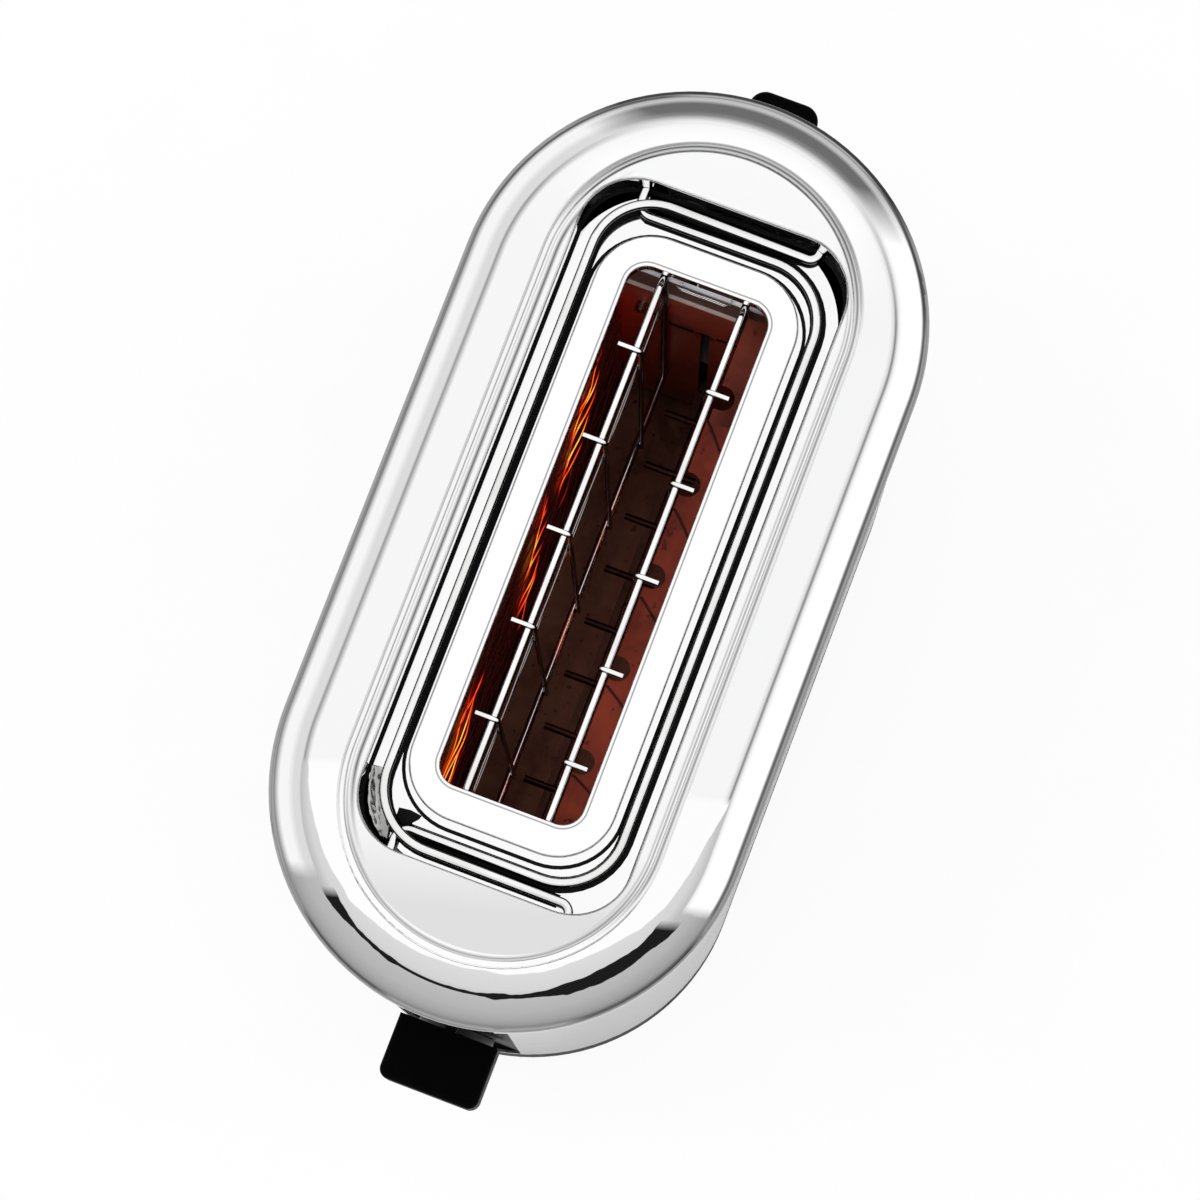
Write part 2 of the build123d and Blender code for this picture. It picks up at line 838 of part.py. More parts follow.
def make_bread_rack():
    half = blade_thickness / 2
    rack_y = (slider_rear_y, rear_face_y + blade_tail)
    rack = block((-half, half), rack_y, (rack_top - blade_height, rack_top))
    first = guard_front_end + 2 * guard_corner
    last = guard_rear_end - 2 * guard_corner
    for index in range(rack_bar_count):
        y = first + (last - first) * index / (rack_bar_count - 1)
        rack += rod((-rack_half_width, y, rack_top), (rack_half_width, y, rack_top), rack_bar / 2)
    return rack


def rod_hole(x, y, low, high, radius):
    return rod((x, y, low), (x, y, high), radius + shaft_gap)


def make_mechanism_frame():
    half = mech_half_width
    frame = block((-half, half), (front_face_y - mech_plate, front_face_y), (mech_low, mech_high))
    top = (mech_high - mech_plate, mech_high)
    frame += block((-half, half), (front_face_y - mech_top_reach, front_face_y), top)
    low = (mech_low, mech_low + mech_plate)
    low_half = mech_low_half_width
    frame += block((-low_half, low_half), (front_face_y - mech_low_reach, front_face_y), low)
    frame -= across(blade_slot_outline(), front_face_y - 2 * mech_plate, front_face_y + mech_plate)
    for x in (-guide_rod_offset, guide_rod_offset):
        frame -= rod_hole(x, rod_y, mech_low - mech_plate, mech_high + mech_plate, guide_rod_radius)
    for x, z in front_screw_places():
        frame -= screw_hole(x, front_face_y, z)
    return frame


def make_guide_rods():
    return [
        rod((x, rod_y, mech_low), (x, rod_y, mech_high), guide_rod_radius)
        for x in (-guide_rod_offset, guide_rod_offset)
    ]


def make_carriage_slider():
    half = slider_half_width
    slider = block((-half, half), (slider_front_y, slider_rear_y), (slider_low, slider_high))
    tail_half = slider_tail_half_width
    tail_y = (slider_rear_y - slider_tail_depth, slider_rear_y)
    slider += block((-tail_half, tail_half), tail_y, (rack_top - blade_height, slider_low))
    ear_x = (half, spring_offset + spring_ear_half_width)
    ear_y = (rod_y - spring_radius, rod_y + spring_radius)
    slider += block(ear_x, ear_y, (slider_high - spring_ear_height, slider_high))
    for x in (-guide_rod_offset, guide_rod_offset):
        slider -= rod_hole(x, rod_y, slider_low - gap, slider_high + gap, guide_rod_radius)
    return slider


def spring_path():
    low = slider_high + spring_wire / 2
    height = mech_high - mech_plate - spring_wire / 2 - low
    place = Pos(spring_offset + spring_ear_half_width - spring_radius, rod_y, low)
    return Wire([place * Helix(pitch=height / spring_curls, height=height, radius=spring_radius)])


def make_lever_arm():
    half = arm_thickness / 2
    end_y = lever_back_y() - arm_in_knob
    return block((-half, half), (end_y, slider_front_y), (lever_z - arm_height / 2, lever_z + arm_height / 2))


def lever_back_y():
    return panel_front_y - lever_back_gap


def knob_block(width, reach_y, back_y, low, high, corner, edge):
    """Lever knob: a slab with round outer corners and soft edges. The outer end is at reach_y."""
    middle = (reach_y + back_y) / 2
    knob = block((-width / 2, width / 2), (min(reach_y, back_y), max(reach_y, back_y)), (low, high))
    outer = [e for e in knob.edges().filter_by(Axis.Z) if abs((e @ 0.5).Y) > abs(middle)]
    knob = fillet(outer, corner)
    flat = [e for e in knob.edges() if min(abs(e.center().Z - high), abs(e.center().Z - low)) < tolerance]
    return fillet([e for e in flat if abs(e.center().Y - back_y) > tolerance], edge)


def make_lever_knob():
    low = lever_z - lever_height / 2
    high = lever_z + lever_height / 2
    back = lever_back_y()
    knob = knob_block(lever_width, -lever_reach, back, low, high, lever_corner, lever_edge)
    return knob - make_lever_arm()


def make_latch_plate():
    half = armature_half_width
    low = core_top() + gap
    reach = (slider_front_y - armature_reach, slider_front_y)
    plate = block((-half, half), reach, (low, low + armature_thickness))
    foot_half = armature_foot_half_width
    foot_y = (slider_front_y - armature_thickness, slider_front_y)
    return plate + block((-foot_half, foot_half), foot_y, (low, slider_low + armature_thickness))


def core_top():
    return mech_low + mech_plate + coil_height + coil_end_gap


def make_magnet_core():
    return rod((0, magnet_y, mech_low + mech_plate), (0, magnet_y, core_top()), core_radius)


def make_magnet_coil():
    low = mech_low + mech_plate
    ring = Circle(coil_radius) - Circle(core_radius + core_gap)
    return prism(Pos(0, magnet_y) * ring, low, low + coil_height)


def button_places():
    return [-button_pitch, 0.0, button_pitch]


def make_front_panel():
    half = panel_half_width
    panel = block((-half, half), (panel_front_y, panel_back_y), (panel_low, panel_high))
    wide = half + panel_flange
    panel += block((-wide, wide), (panel_back_y, flange_back_y), (panel_low, panel_high))
    slot = arm_thickness / 2 + gap
    low = lever_z - arm_height / 2 - 2 * gap
    high = lever_z + arm_height / 2 + carriage_travel + 2 * gap
    panel -= block((-slot, slot), (panel_front_y, flange_back_y), (low, high))
    ends = (panel_front_y - gap, flange_back_y + gap)
    panel -= rod((0, ends[0], dial_z), (0, ends[1], dial_z), dial_shaft_radius + gap)
    for x in button_places():
        panel -= rod((x, ends[0], button_z), (x, ends[1], button_z), button_radius + button_gap)
    for x, z in post_places():
        panel += rod((x, flange_back_y, z), (x, flange_back_y + post_length, z), post_radius)
    return panel


def post_places():
    x = board_half_width - post_margin
    return [(sign * x, z) for sign in (-1, 1) for z in (board_low + post_margin, board_high - post_margin)]


def make_button_board():
    board_y = flange_back_y + post_length
    half = board_half_width
    board = block((-half, half), (board_y, board_y + board_thickness), (board_low, board_high))
    for x in button_places():
        limits = (x - switch_half_width, x + switch_half_width)
        heights = (button_z - switch_half_width, button_z + switch_half_width)
        board += block(limits, (board_y - switch_height, board_y), heights)
    return board


def make_button(x):
    flange_y = flange_back_y + gap
    switch_y = flange_back_y + post_length - switch_height
    button = rod((x, panel_front_y - button_proud, button_z), (x, flange_y, button_z), button_radius)
    button = fillet(button.edges().group_by(Axis.Y)[0], button_edge)
    flange_end = flange_y + button_flange_thickness
    flange = rod((x, flange_y, button_z), (x, flange_end, button_z), button_radius + button_flange)
    stem = rod((x, flange_y, button_z), (x, switch_y - button_travel - gap, button_z), button_stem_radius)
    return button + flange + stem


def make_browning_pot():
    half = pot_half_width
    pot_y = (flange_back_y, flange_back_y + pot_depth)
    pot = block((-half, half), pot_y, (dial_z - half, dial_z + half))
    bore_end = flange_back_y + pot_bore_depth
    return pot - rod((0, flange_back_y, dial_z), (0, bore_end, dial_z), dial_shaft_radius + shaft_gap)


def make_dial_shaft():
    end_y = dial_back_y() - dial_shaft_in_knob
    return rod((0, end_y, dial_z), (0, flange_back_y + pot_bore_depth - gap, dial_z), dial_shaft_radius)


def dial_back_y():
    return panel_front_y - gap


def make_browning_knob():
    back = dial_back_y()
    knob = rod((0, back - dial_depth, dial_z), (0, back, dial_z), dial_radius)
    knob = fillet(knob.edges().group_by(Axis.Y)[0], dial_edge)
    half = dial_mark_width / 2
    ends = (back - dial_depth, back - dial_depth + dial_mark_depth)
    top = dial_z + dial_radius
    groove = block((-half, half), ends, (top - dial_mark_length, top))
    return knob - groove - make_dial_shaft()


def make_control_board():
    rear = front_face_y - gap
    outer = timer_offset + board_thickness
    board = block((timer_offset, outer), (rear - timer_depth, rear), (timer_low, timer_high))
    wide, deep, tall = relay_size
    middle = rear - timer_depth / 2
    base = timer_low + relay_rise
    return board + block((outer, outer + wide), (middle - deep / 2, middle + deep / 2), (base, base + tall))


def make_bun_wire(pivot_x, rail_x, rail_z, reach, stub_bend):
    """One bail: pivot stub, near arm, rail, far arm, pivot stub, then the crank and its pin."""
    near = well_center - reach
    far = well_center + reach
    crank_low = bun_pivot_z - crank_length
    points = [
        (pivot_x, well_front - stub_end, bun_pivot_z),
        (pivot_x, near, bun_pivot_z),
        (rail_x, near, rail_z),
        (rail_x, far, rail_z),
        (pivot_x, far, bun_pivot_z),
        (pivot_x, crank_y, bun_pivot_z),
        (pivot_x, crank_y, crank_low),
        (pivot_x, crank_y + crank_pin, crank_low),
    ]
    bends = [stub_bend, bun_corner, bun_corner, stub_bend, crank_bend, crank_bend]
    return bent_wire(points, bends, bun_wire)


def make_left_bun_wire():
    rail_z = bun_pivot_z + left_rail_lift
    return make_bun_wire(left_pivot_x, left_rail_x, rail_z, left_arm_reach, left_stub_bend)


def make_right_bun_wire():
    return make_bun_wire(right_pivot_x, right_rail_x, bun_pivot_z, right_arm_reach, right_stub_bend)


def make_pivot_bushes():
    bushes = []
    for x in (left_pivot_x, right_pivot_x):
        for wall, way in ((well_front - sheet, -1), (well_rear + sheet, 1)):
            start = (x, wall, bun_pivot_z)
            end = (x, wall + way * bush_length, bun_pivot_z)
            bushes.append(rod(start, end, bush_radius) - rod(start, end, bun_wire / 2 + shaft_gap))
    return bushes


def crank_slot(pivot_x, way):
    """Slanted slot that the crank pin follows. way is +1 where the crank turns towards +X."""
    half = bun_wire / 2 + slot_play
    centers = []
    for step in range(slot_steps + 1):
        share = step / slot_steps
        angle = math.radians(bun_angle * share)
        x = pivot_x + way * crank_length * math.sin(angle)
        z = bun_pivot_z - crank_length * math.cos(angle) + bun_travel * share
        centers.append(Vector(x, z))
    slot = Sketch()
    for start, end in zip(centers, centers[1:]):
        slot += SlotCenterPoint((start + end) * 0.5, end, 2 * half)
    return slot


def make_bun_slider():
    outline = Polyline(
        (-head_half_width, head_low),
        (head_half_width, head_low),
        (head_half_width, head_shoulder),
        (head_top_half_width, head_top),
        (-head_top_half_width, head_top),
        (-head_half_width, head_shoulder),
        (-head_half_width, head_low),
    )
    head = make_face(outline)
    head = fillet(head.vertices(), head_corner)
    tongue_top = (head_low + head_shoulder) / 2
    tongue_middle = (bun_block_low + tongue_top) / 2
    tongue = Pos(0, tongue_middle) * Rectangle(2 * tongue_half_width, tongue_top - bun_block_low)
    plate = across(head + tongue, plate_y, plate_back_y)
    slots = crank_slot(left_pivot_x, -1) + crank_slot(right_pivot_x, 1)
    plate -= across(slots, plate_y - bun_plate_thickness, plate_back_y + bun_plate_thickness)
    half = bun_block_half_width
    depth = (plate_y - bun_block_depth, plate_y)
    slider = plate + block((-half, half), depth, (bun_block_low, bun_block_high))
    for x in (-rear_rod_offset, rear_rod_offset):
        slider -= rod_hole(x, rear_rod_y, bun_block_low - gap, bun_block_high + gap, rear_rod_radius)
    return slider


def make_rear_frame():
    half = rear_half_width
    frame = block((-half, half), (rear_face_y, rear_face_y + mech_plate), (rear_low, rear_high))
    for low in (rear_low, rear_high - mech_plate):
        frame += block((-half, half), (rear_face_y, rear_face_y + rear_reach), (low, low + mech_plate))
    window = rear_window_half_width
    tail_end = rear_face_y + blade_tail + gap
    frame -= block((-window, window), (rear_face_y, tail_end), (rear_low - gap, rear_high - mech_plate))
    for x in (-rear_rod_offset, rear_rod_offset):
        frame -= rod_hole(x, rear_rod_y, rear_low - gap, rear_high + gap, rear_rod_radius)
    for x, z in rear_screw_places():
        frame -= screw_hole(x, rear_face_y, z)
    return frame


def make_bun_guide_rods():
    return [
        rod((x, rear_rod_y, rear_low), (x, rear_rod_y, rear_high), rear_rod_radius)
        for x in (-rear_rod_offset, rear_rod_offset)
    ]


def bun_lever_back_y():
    return shell_straight + shell_radius + bun_lever_back_gap


def make_bun_lever_arm():
    half = arm_thickness / 2
    end_y = bun_lever_back_y() + arm_in_knob
    levels = (bun_lever_z - bun_arm_height / 2, bun_lever_z + bun_arm_height / 2)
    return block((-half, half), (plate_back_y, end_y), levels)


def make_bun_lever_knob():
    low = bun_lever_z - bun_lever_height / 2
    high = low + bun_lever_height
    back = bun_lever_back_y()
    knob = knob_block(bun_lever_width, lever_reach, back, low, high, bun_lever_corner, bun_lever_edge)
    return knob - make_bun_lever_arm()


def make_bun_slot_trim():
    low, high = trim_limits()
    half = trim_half_width
    outer_y = shell_straight + math.sqrt(shell_radius**2 - half**2) - trim_recess
    wide = half + trim_flange
    inner_y = shell_straight + math.sqrt(shell_inner**2 - wide**2) - gap
    trim = block((-half, half), (inner_y, outer_y), (low, high))
    ends = (low - trim_flange, high + trim_flange)
    trim += block((-wide, wide), (inner_y - trim_flange_thickness, inner_y), ends)
    slot = arm_thickness / 2 + gap
    slot_low = bun_lever_z - bun_arm_height / 2 - bun_travel - 2 * gap
    slot_high = bun_lever_z + bun_arm_height / 2 + 2 * gap
    return trim - block((-slot, slot), (inner_y - trim_flange_thickness, outer_y), (slot_low, slot_high))


def frame_screw(x, y, z, way):
    """Screw with its head on an upright plate. way is -1 where the head lies towards -Y."""
    head = rod((x, y, z), (x, y + way * screw_head, z), screw_head_radius)
    return head + rod((x, y, z), (x, y - way * screw_length, z), screw_radius)


def make_frame_screws():
    front = [frame_screw(x, front_face_y - mech_plate, z, -1) for x, z in front_screw_places()]
    rear = [frame_screw(x, rear_face_y + mech_plate, z, 1) for x, z in rear_screw_places()]
    return front + rear


def make_crumb_tray():
    half = crumb_half_width
    tray = block((-half, half), (crumb_front, crumb_rear), (crumb_low, crumb_low + crumb_height))
    inner = half - sheet
    inner_y = (crumb_front + sheet, crumb_rear - sheet)
    return tray - block((-inner, inner), inner_y, (crumb_low + sheet, crumb_low + crumb_height))


def make_crumb_tray_grip():
    half = crumb_half_width
    top = crumb_low + crumb_height
    face = prism(obround(shell_radius, shell_straight), crumb_low, top)
    face &= block((-half, half), (crumb_rear, rim_length), (crumb_low, top))
    reach = shell_straight + shell_radius + grip_reach
    lip_levels = (crumb_low, crumb_low + grip_height)
    lip = block((-grip_half_width, grip_half_width), (crumb_rear, reach), lip_levels)
    ends = [e for e in lip.edges().filter_by(Axis.Z) if (e @ 0.5).Y > reach - tolerance]
    return face + fillet(ends, grip_fillet)


def make_terminal_block():
    x = terminal_x
    y = terminal_y
    wide, deep, tall = terminal_size
    terminals = block((x, x + wide), (y, y + deep), (floor_top, floor_top + tall))
    for index in range(terminal_count):
        middle = (x + wide * (index + 0.5) / terminal_count, y + deep / 2)
        terminals -= rod((*middle, floor_top + tall / 2), (*middle, floor_top + tall), screw_radius)
    return terminals


write("top_cover", make_top_cover())
write("slot_frame", make_slot_frame())
write("well_tray", make_well_tray())
write("outer_shell", make_outer_shell())
write("base_pan", make_base_pan())
write("feet", *make_feet())
write("base_screws", *make_base_screws())
write("cord_gland", make_cord_gland())
write("terminal_block", make_terminal_block())
write("chamber_front", make_chamber_front())
write("chamber_rear", make_chamber_rear())
write("reflector_right", make_reflector())
write("reflector_left", mirrored(make_reflector()))
write("heater_card_right", make_heater_card())
write("heater_card_left", mirrored(make_heater_card()))
winding = winding_path()
heater_wire = wire_on(winding, wire_diameter)
write("heater_wire_right", heater_wire)
write("heater_wire_left", mirrored(heater_wire))
write("guard_right", make_guard(1, hook_rear_right))
write("guard_left", make_guard(-1, hook_rear_left))
write("bread_rack", make_bread_rack())
write("mechanism_frame", make_mechanism_frame())
write("guide_rods", *make_guide_rods())
write("carriage_slider", make_carriage_slider())
spring = spring_path()
write("return_spring", wire_on(spring, spring_wire))
write("lever_arm", make_lever_arm())
write("lever_knob", make_lever_knob())
write("latch_plate", make_latch_plate())
write("magnet_core", make_magnet_core())
write("magnet_coil", make_magnet_coil())
write("front_panel", make_front_panel())
write("button_board", make_button_board())
write("stop_button", make_button(button_places()[0]))
write("defrost_button", make_button(button_places()[1]))
write("reheat_button", make_button(button_places()[2]))
write("browning_pot", make_browning_pot())
write("dial_shaft", make_dial_shaft())
write("browning_knob", make_browning_knob())
write("control_board", make_control_board())
write("bun_wire_left", make_left_bun_wire())
write("bun_wire_right", make_right_bun_wire())
write("pivot_bushes", *make_pivot_bushes())
write("rear_frame", make_rear_frame())
write("bun_guide_rods", *make_bun_guide_rods())
write("bun_slider", make_bun_slider())
write("bun_lever_arm", make_bun_lever_arm())
write("bun_lever_knob", make_bun_lever_knob())
write("bun_slot_trim", make_bun_slot_trim())
write("frame_screws", *make_frame_screws())
write("crumb_tray", make_crumb_tray())
write("crumb_tray_grip", make_crumb_tray_grip())

winding_gap = least_gap(winding, wire_diameter, winding_bend())
spring_gap = least_gap(spring, spring_wire, spring_radius)
print(f"Least gap of the heating wire to itself: {winding_gap:.2f} mm")
print(f"Least gap of the return spring to itself: {spring_gap:.2f} mm")
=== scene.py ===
import math
import random

import bmesh
import bpy
from mathutils import Matrix, Vector


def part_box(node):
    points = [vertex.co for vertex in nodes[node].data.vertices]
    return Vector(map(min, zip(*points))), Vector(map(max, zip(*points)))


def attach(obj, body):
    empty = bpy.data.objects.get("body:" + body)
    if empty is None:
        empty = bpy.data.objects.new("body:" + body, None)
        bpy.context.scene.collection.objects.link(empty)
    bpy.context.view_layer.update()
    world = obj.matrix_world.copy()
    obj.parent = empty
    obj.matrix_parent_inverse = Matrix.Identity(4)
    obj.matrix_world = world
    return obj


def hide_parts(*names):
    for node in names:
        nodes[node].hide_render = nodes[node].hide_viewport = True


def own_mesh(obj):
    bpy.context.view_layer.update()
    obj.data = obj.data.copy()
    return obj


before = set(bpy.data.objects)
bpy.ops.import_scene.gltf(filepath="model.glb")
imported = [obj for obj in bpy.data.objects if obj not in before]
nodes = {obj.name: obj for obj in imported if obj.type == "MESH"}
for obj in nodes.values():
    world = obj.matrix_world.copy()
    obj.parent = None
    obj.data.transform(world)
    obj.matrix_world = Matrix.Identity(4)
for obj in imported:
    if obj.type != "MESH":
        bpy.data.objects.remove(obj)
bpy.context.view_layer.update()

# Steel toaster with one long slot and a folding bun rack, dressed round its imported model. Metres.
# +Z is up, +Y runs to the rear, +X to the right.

MM = 0.001

# Camera, from the photograph
camera_place = Vector((0.07099885, -0.15555475, 1.17998601))
camera_target = Vector((0.0036873, -0.01096004, 0.18))
camera_roll = -0.36276
camera_lens = 122.0458
sensor_width = 36.0

# Surroundings
floor_half = 4.0
floor_drop = 0.0005
floor_lift = 0.90
even_light = 0.85
lamp_target = Vector((0.0, 0.0, 0.12))
studio_left = ((0, 1.02), (60, 1.03), (75, 0.90), (84, 0.50), (90, 0.35))
studio_right = ((0, 1.02), (60, 1.02), (72, 0.80), (80, 0.40), (90, 0.30))
studio_rear = ((0, 1.02), (45, 1.0), (60, 1.10), (72, 1.08), (80, 0.40), (87, 0.10))
studio_front = ((0, 1.02), (40, 1.05), (60, 1.0), (75, 0.80), (85, 0.40))
# Near the horizon: softboxes and dark gaps round the room, by the share of a turn
studio_round = (
    (0.0, 0.75), (0.05, 0.95), (0.12, 0.95), (0.135, 0.22), (0.20, 0.30), (0.215, 1.05), (0.34, 1.05),
    (0.36, 0.35), (0.45, 0.20), (0.47, 0.90), (0.58, 1.0), (0.60, 0.28), (0.68, 0.35), (0.70, 1.05),
    (0.80, 1.05), (0.82, 0.25), (0.93, 0.30), (1.0, 0.75),
)
horizon_start = 76.0
horizon_end = 86.0

# Rear wall of the chamber: its pressed ribs by height, painted as highlight bands with dark shade lines,
# where the left heater's painted red glow falls, and the front of its clip plate
rib_levels = (0.140, 0.176)
rib_edge = (0.1402, 0.1410)
rib_highlight_stops = ((0.0, (0.06, 0.03, 0.025)), (0.03, (0.95, 0.78, 0.70)), (0.10, (0.80, 0.66, 0.60)),
             (0.13, (0.02, 0.010, 0.010)), (0.17, (0.14, 0.07, 0.055)), (0.50, (0.16, 0.09, 0.075)),
             (0.53, (0.01, 0.01, 0.01)), (0.56, (1.0, 1.0, 1.0)), (0.64, (0.90, 0.95, 1.0)),
             (0.69, (0.10, 0.11, 0.14)), (0.80, (0.02, 0.02, 0.02)), (1.0, (0.01, 0.01, 0.01)))
glow_across = (-0.026, -0.008)
glow_up = (0.118, 0.140)
plate_front = (0.0749, 0.0753)

# Heating ribbon, and where it glows: three bundles down each card, each with its ends as Y and Z
ribbon_loops = 12
ribbon_width = 1.9 * MM
ribbon_sheet = 0.16 * MM
ribbon_step = 1.1 * MM
ribbon_card_gap = 0.7 * MM
ribbon_sway = 2.1 * MM
ribbon_bulge = 0.9 * MM
ribbon_waves = ((0.017, 0.034), (0.009, 0.015), (0.014, 0.026))
ribbon_ease = 9.0
winding_radius = 0.4 * MM
glow_bundles = (
    ((0.060, 0.128), (0.022, 0.088)),
    ((0.020, 0.120), (-0.010, 0.064)),
    ((-0.030, 0.116), (-0.072, 0.090)),
)
glow_half_height = 0.020
glow_wander = 0.016

# Guards: where the right one's hooks are, and two thin stay wires under each top rail
hook_pitch = 0.0251
hook_count = 5
hook_rear_right = 0.0490
stay_offset = 0.0105
stay_levels = (0.1570, 0.1536)
stay_radius = 0.35 * MM
stay_ends = (-0.0695, 0.0737)
stay_steps = 24
stay_sway = 0.12 * MM

# Polished cover: painted reflections, drawn as bands of tone across ring, crease, crown and rim, from the
# middle line in millimetres
rim_straight = 0.063
tone_start = 0.040
tone_end = 0.062
left_tones = (
    (50, 0.9), (51.5, 0.3), (52, 0.7), (53.5, 0.7), (55, 0.9), (57, 0.9), (58.5, 0.3), (59, 0.7), (61, 0.5),
)
right_tones = (
    (50, 0.9), (50.9, 0.7), (51.4, 0.2), (52.1, 0.8), (53, 1.0), (57.8, 1.0), (58.3, 0.2), (59.5, 0.05),
    (60.5, 0.8), (61, 0.35),
)
near_tones = ((46, 0.7), (50, 0.65), (52, 0.5), (55, 0.45), (59, 0.3))
far_tones = ((46, 0.95), (51.5, 0.85), (53, 0.25), (54, 0.15), (56, 0.15), (57, 0.5), (59, 0.4), (60, 0.2))
middle_blur = 0.001
lip_inner = (0.0516, 0.0522)
lip_outer = (0.0585, 0.0590)

# Painted reflection lines along the bead: each one's place and half width in millimetres, and how dark it is
bead_straight = 0.0666
bead_middle = 0.0404
bead_reach = 0.005
bead_left = ((-2.8, 0.8, 0.15), (-1.6, 0.3, 0.7), (-0.8, 0.3, 0.7), (0.4, 0.3, 0.4))
bead_right = ((-2.4, 0.4, 0.6), (-1.6, 0.4, 0.4), (-0.1, 0.6, 0.3))
bead_far = ((-1.0, 0.4, 0.1), (0.0, 0.5, 0.1), (1.3, 0.5, 0.3))
bead_near = ((-1.5, 0.7, 0.4),)
bead_far_between = 0.65
bead_end_start = 0.072
bead_end_full = 0.094

# Painted dark reflection line round the lip's side, by height from the lip's middle, and the painted darker
# tone under it
lip_radius = 0.0065
line_low = -0.0003
line_high = 0.0021
line_blur = 0.3 * MM
line_far = 0.02
line_plain = 0.34
under_tone = 0.55

# Near end, measured along a slanting axis: a darker painted reflection on the lip, a bright painted
# reflection patch with a ragged edge inside it, the flat top's painted reflection tone, and the painted black
# reflection in the fold between lip and ring, which widens to both sides
near_slant = math.radians(15.0)
near_start = 0.0845
near_end = 0.0875
near_ragged = (60.0, 0.006)
patch_start = 0.058
patch_end = 0.100
patch_wide = 0.0512
patch_narrow = 0.0462
patch_blur = 0.25 * MM
patch_blend = 2.0 * MM
patch_ragged = (34.0, 0.0065)
patch_highlight_color = (0.96, 0.96, 0.97)
plateau_edge = 0.0412
plateau_blur = 0.4 * MM
plateau_start = 0.074
plateau_end = 0.092
plateau_tones = (0.91, 0.73)
fold_start = 0.0895
fold_end = 0.0920
fold_middle = 0.0513
fold_plain = 0.010
fold_growth = 0.040
fold_least = 0.40 * MM
fold_extra = 0.35 * MM
fold_blur = 0.12 * MM
fold_ragged = (75.0, 0.0030)
fold_reflection_color = (0.012, 0.012, 0.012)

# Far end: where its own painted reflection tones take over on the ring and on the lip
far_ring_start = 0.080
far_ring_end = 0.112
far_lip_start = 0.0990
far_lip_end = 0.1100
far_ragged = (60.0, 0.003)

# Slot in the frame, with a fine grey line painted round it as the shade of a pressed crease
slot_outline = (0.0188, 0.0699, 0.0055)
slot_line_out = 0.0010
slot_line_half = 0.00014
slot_crease_shade = (0.42, 0.42, 0.43)

# Polished sleeve: its painted shade by height in millimetres, darker towards the base
sleeve_shade_tones = ((0, 0.22), (22, 0.25), (60, 0.31), (130, 0.36), (174, 0.38), (190, 0.42))
sleeve_top = 190.0

# Liners beside the right guard: a round-ended notch for each hook and for the rear upright
liner_level = 0.1700
liner_sheet = 0.5 * MM
liner_edge = 12.1 * MM
liner_ends = (-0.0683, 0.0430)
rear_liner_level = 0.1640
rear_liner_front = 0.0390
rear_liner_gap = 0.0008
upright_radius = 0.0010
upright_notch = 5.8 * MM
notch_half = 3.2 * MM
notch_depth = 4.4 * MM
notch_shift = 2.0 * MM
notch_steps = 16

# Slanted crease in the liner below each notch, near black as a painted shadow of the guard's upright, longer
# and steeper towards the rear
crease_radius = 0.32 * MM
crease_reach = 0.0225
crease_inset = 0.2 * MM
crease_front = -0.0514
crease_start = (-1.9 * MM, -0.042)
crease_drop = (4.4 * MM, 0.060)
crease_bend = 0.25
crease_steps = 8

# Return spring
spring_turns = 16
spring_steps = 20
spring_wire_radius = 0.4 * MM

# Bracket in the near left corner of the well: its left and right edges, from rear to front
bracket_level = 0.1758
bracket_rows = (
    (-0.0346, -0.0306, -0.0690), (-0.0342, -0.0300, -0.0715), (-0.0336, -0.0290, -0.0745),
    (-0.0324, -0.0274, -0.0780), (-0.0308, -0.0256, -0.0808), (-0.0286, -0.0247, -0.0832),
    (-0.0266, -0.0245, -0.0850),
)
bracket_columns = 9
bracket_splits = 5
bracket_sheet = 0.4 * MM
bracket_lift = 0.5 * MM
bracket_dent = 0.16 * MM

# Black patch beside the bracket, a painted pointed shadow
pointed_shadow_corners = (
    (-0.0248, -0.0766), (-0.0218, -0.0762), (-0.0188, -0.0766), (-0.0191, -0.0776), (-0.0204, -0.0791),
    (-0.0195, -0.0803), (-0.0225, -0.0806), (-0.0247, -0.0797),
)

# Outlines of the well, of the frame that stands in it, and of the black seams of painted shade round the
# frame's foot and along the well wall's foot
well_middle = 0.0025
well_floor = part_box("slot_frame")[0].z
well_outline = (0.0353, 0.09015, 0.0150)
well_seam_shade_outline = (0.03475, 0.0896, 0.01445)
frame_outline = (0.0280, 0.0797, 0.0162)
frame_seam_shade_outline = (0.0289, 0.0806, 0.0171)
seam_height = 0.4 * MM

# Black strips on the tray under the wires of the bun rack, as the wires' painted shadows: pivot, rail and
# arms as X and Y, then their reach to each side
shadow_height = 0.35 * MM
shadow_corner = 0.0160
shadow_steps = 10
right_shadow = (-0.0205, 0.0303, 0.0834, 1.6 * MM, 2.5 * MM)
left_shadow = (0.0205, -0.0305, 0.0870, 1.7 * MM, 1.7 * MM)

# Clip wires on the rear wall: level, left and right end. Dark creases across it: left and right end, level
clip_inset = 2.75 * MM
clip_radius = 0.22 * MM
clip_rows = ((0.1630, -0.0084, 0.0066), (0.1614, -0.0078, 0.0060))
clip_steps = 12
wall_face = 0.0763
wall_crease_rows = ((-0.0165, -0.0034, 0.1105), (0.0034, 0.0150, 0.1115))
wall_crease_rise = 5.5 * MM
wall_crease_wave = 0.6 * MM
wall_crease_radius = 0.5 * MM
wall_crease_steps = 14


def grey(tone):
    return tone, tone, tone


def cool(tone):
    """Grey of polished steel, a little blue."""
    return tone, tone, tone * 1.01


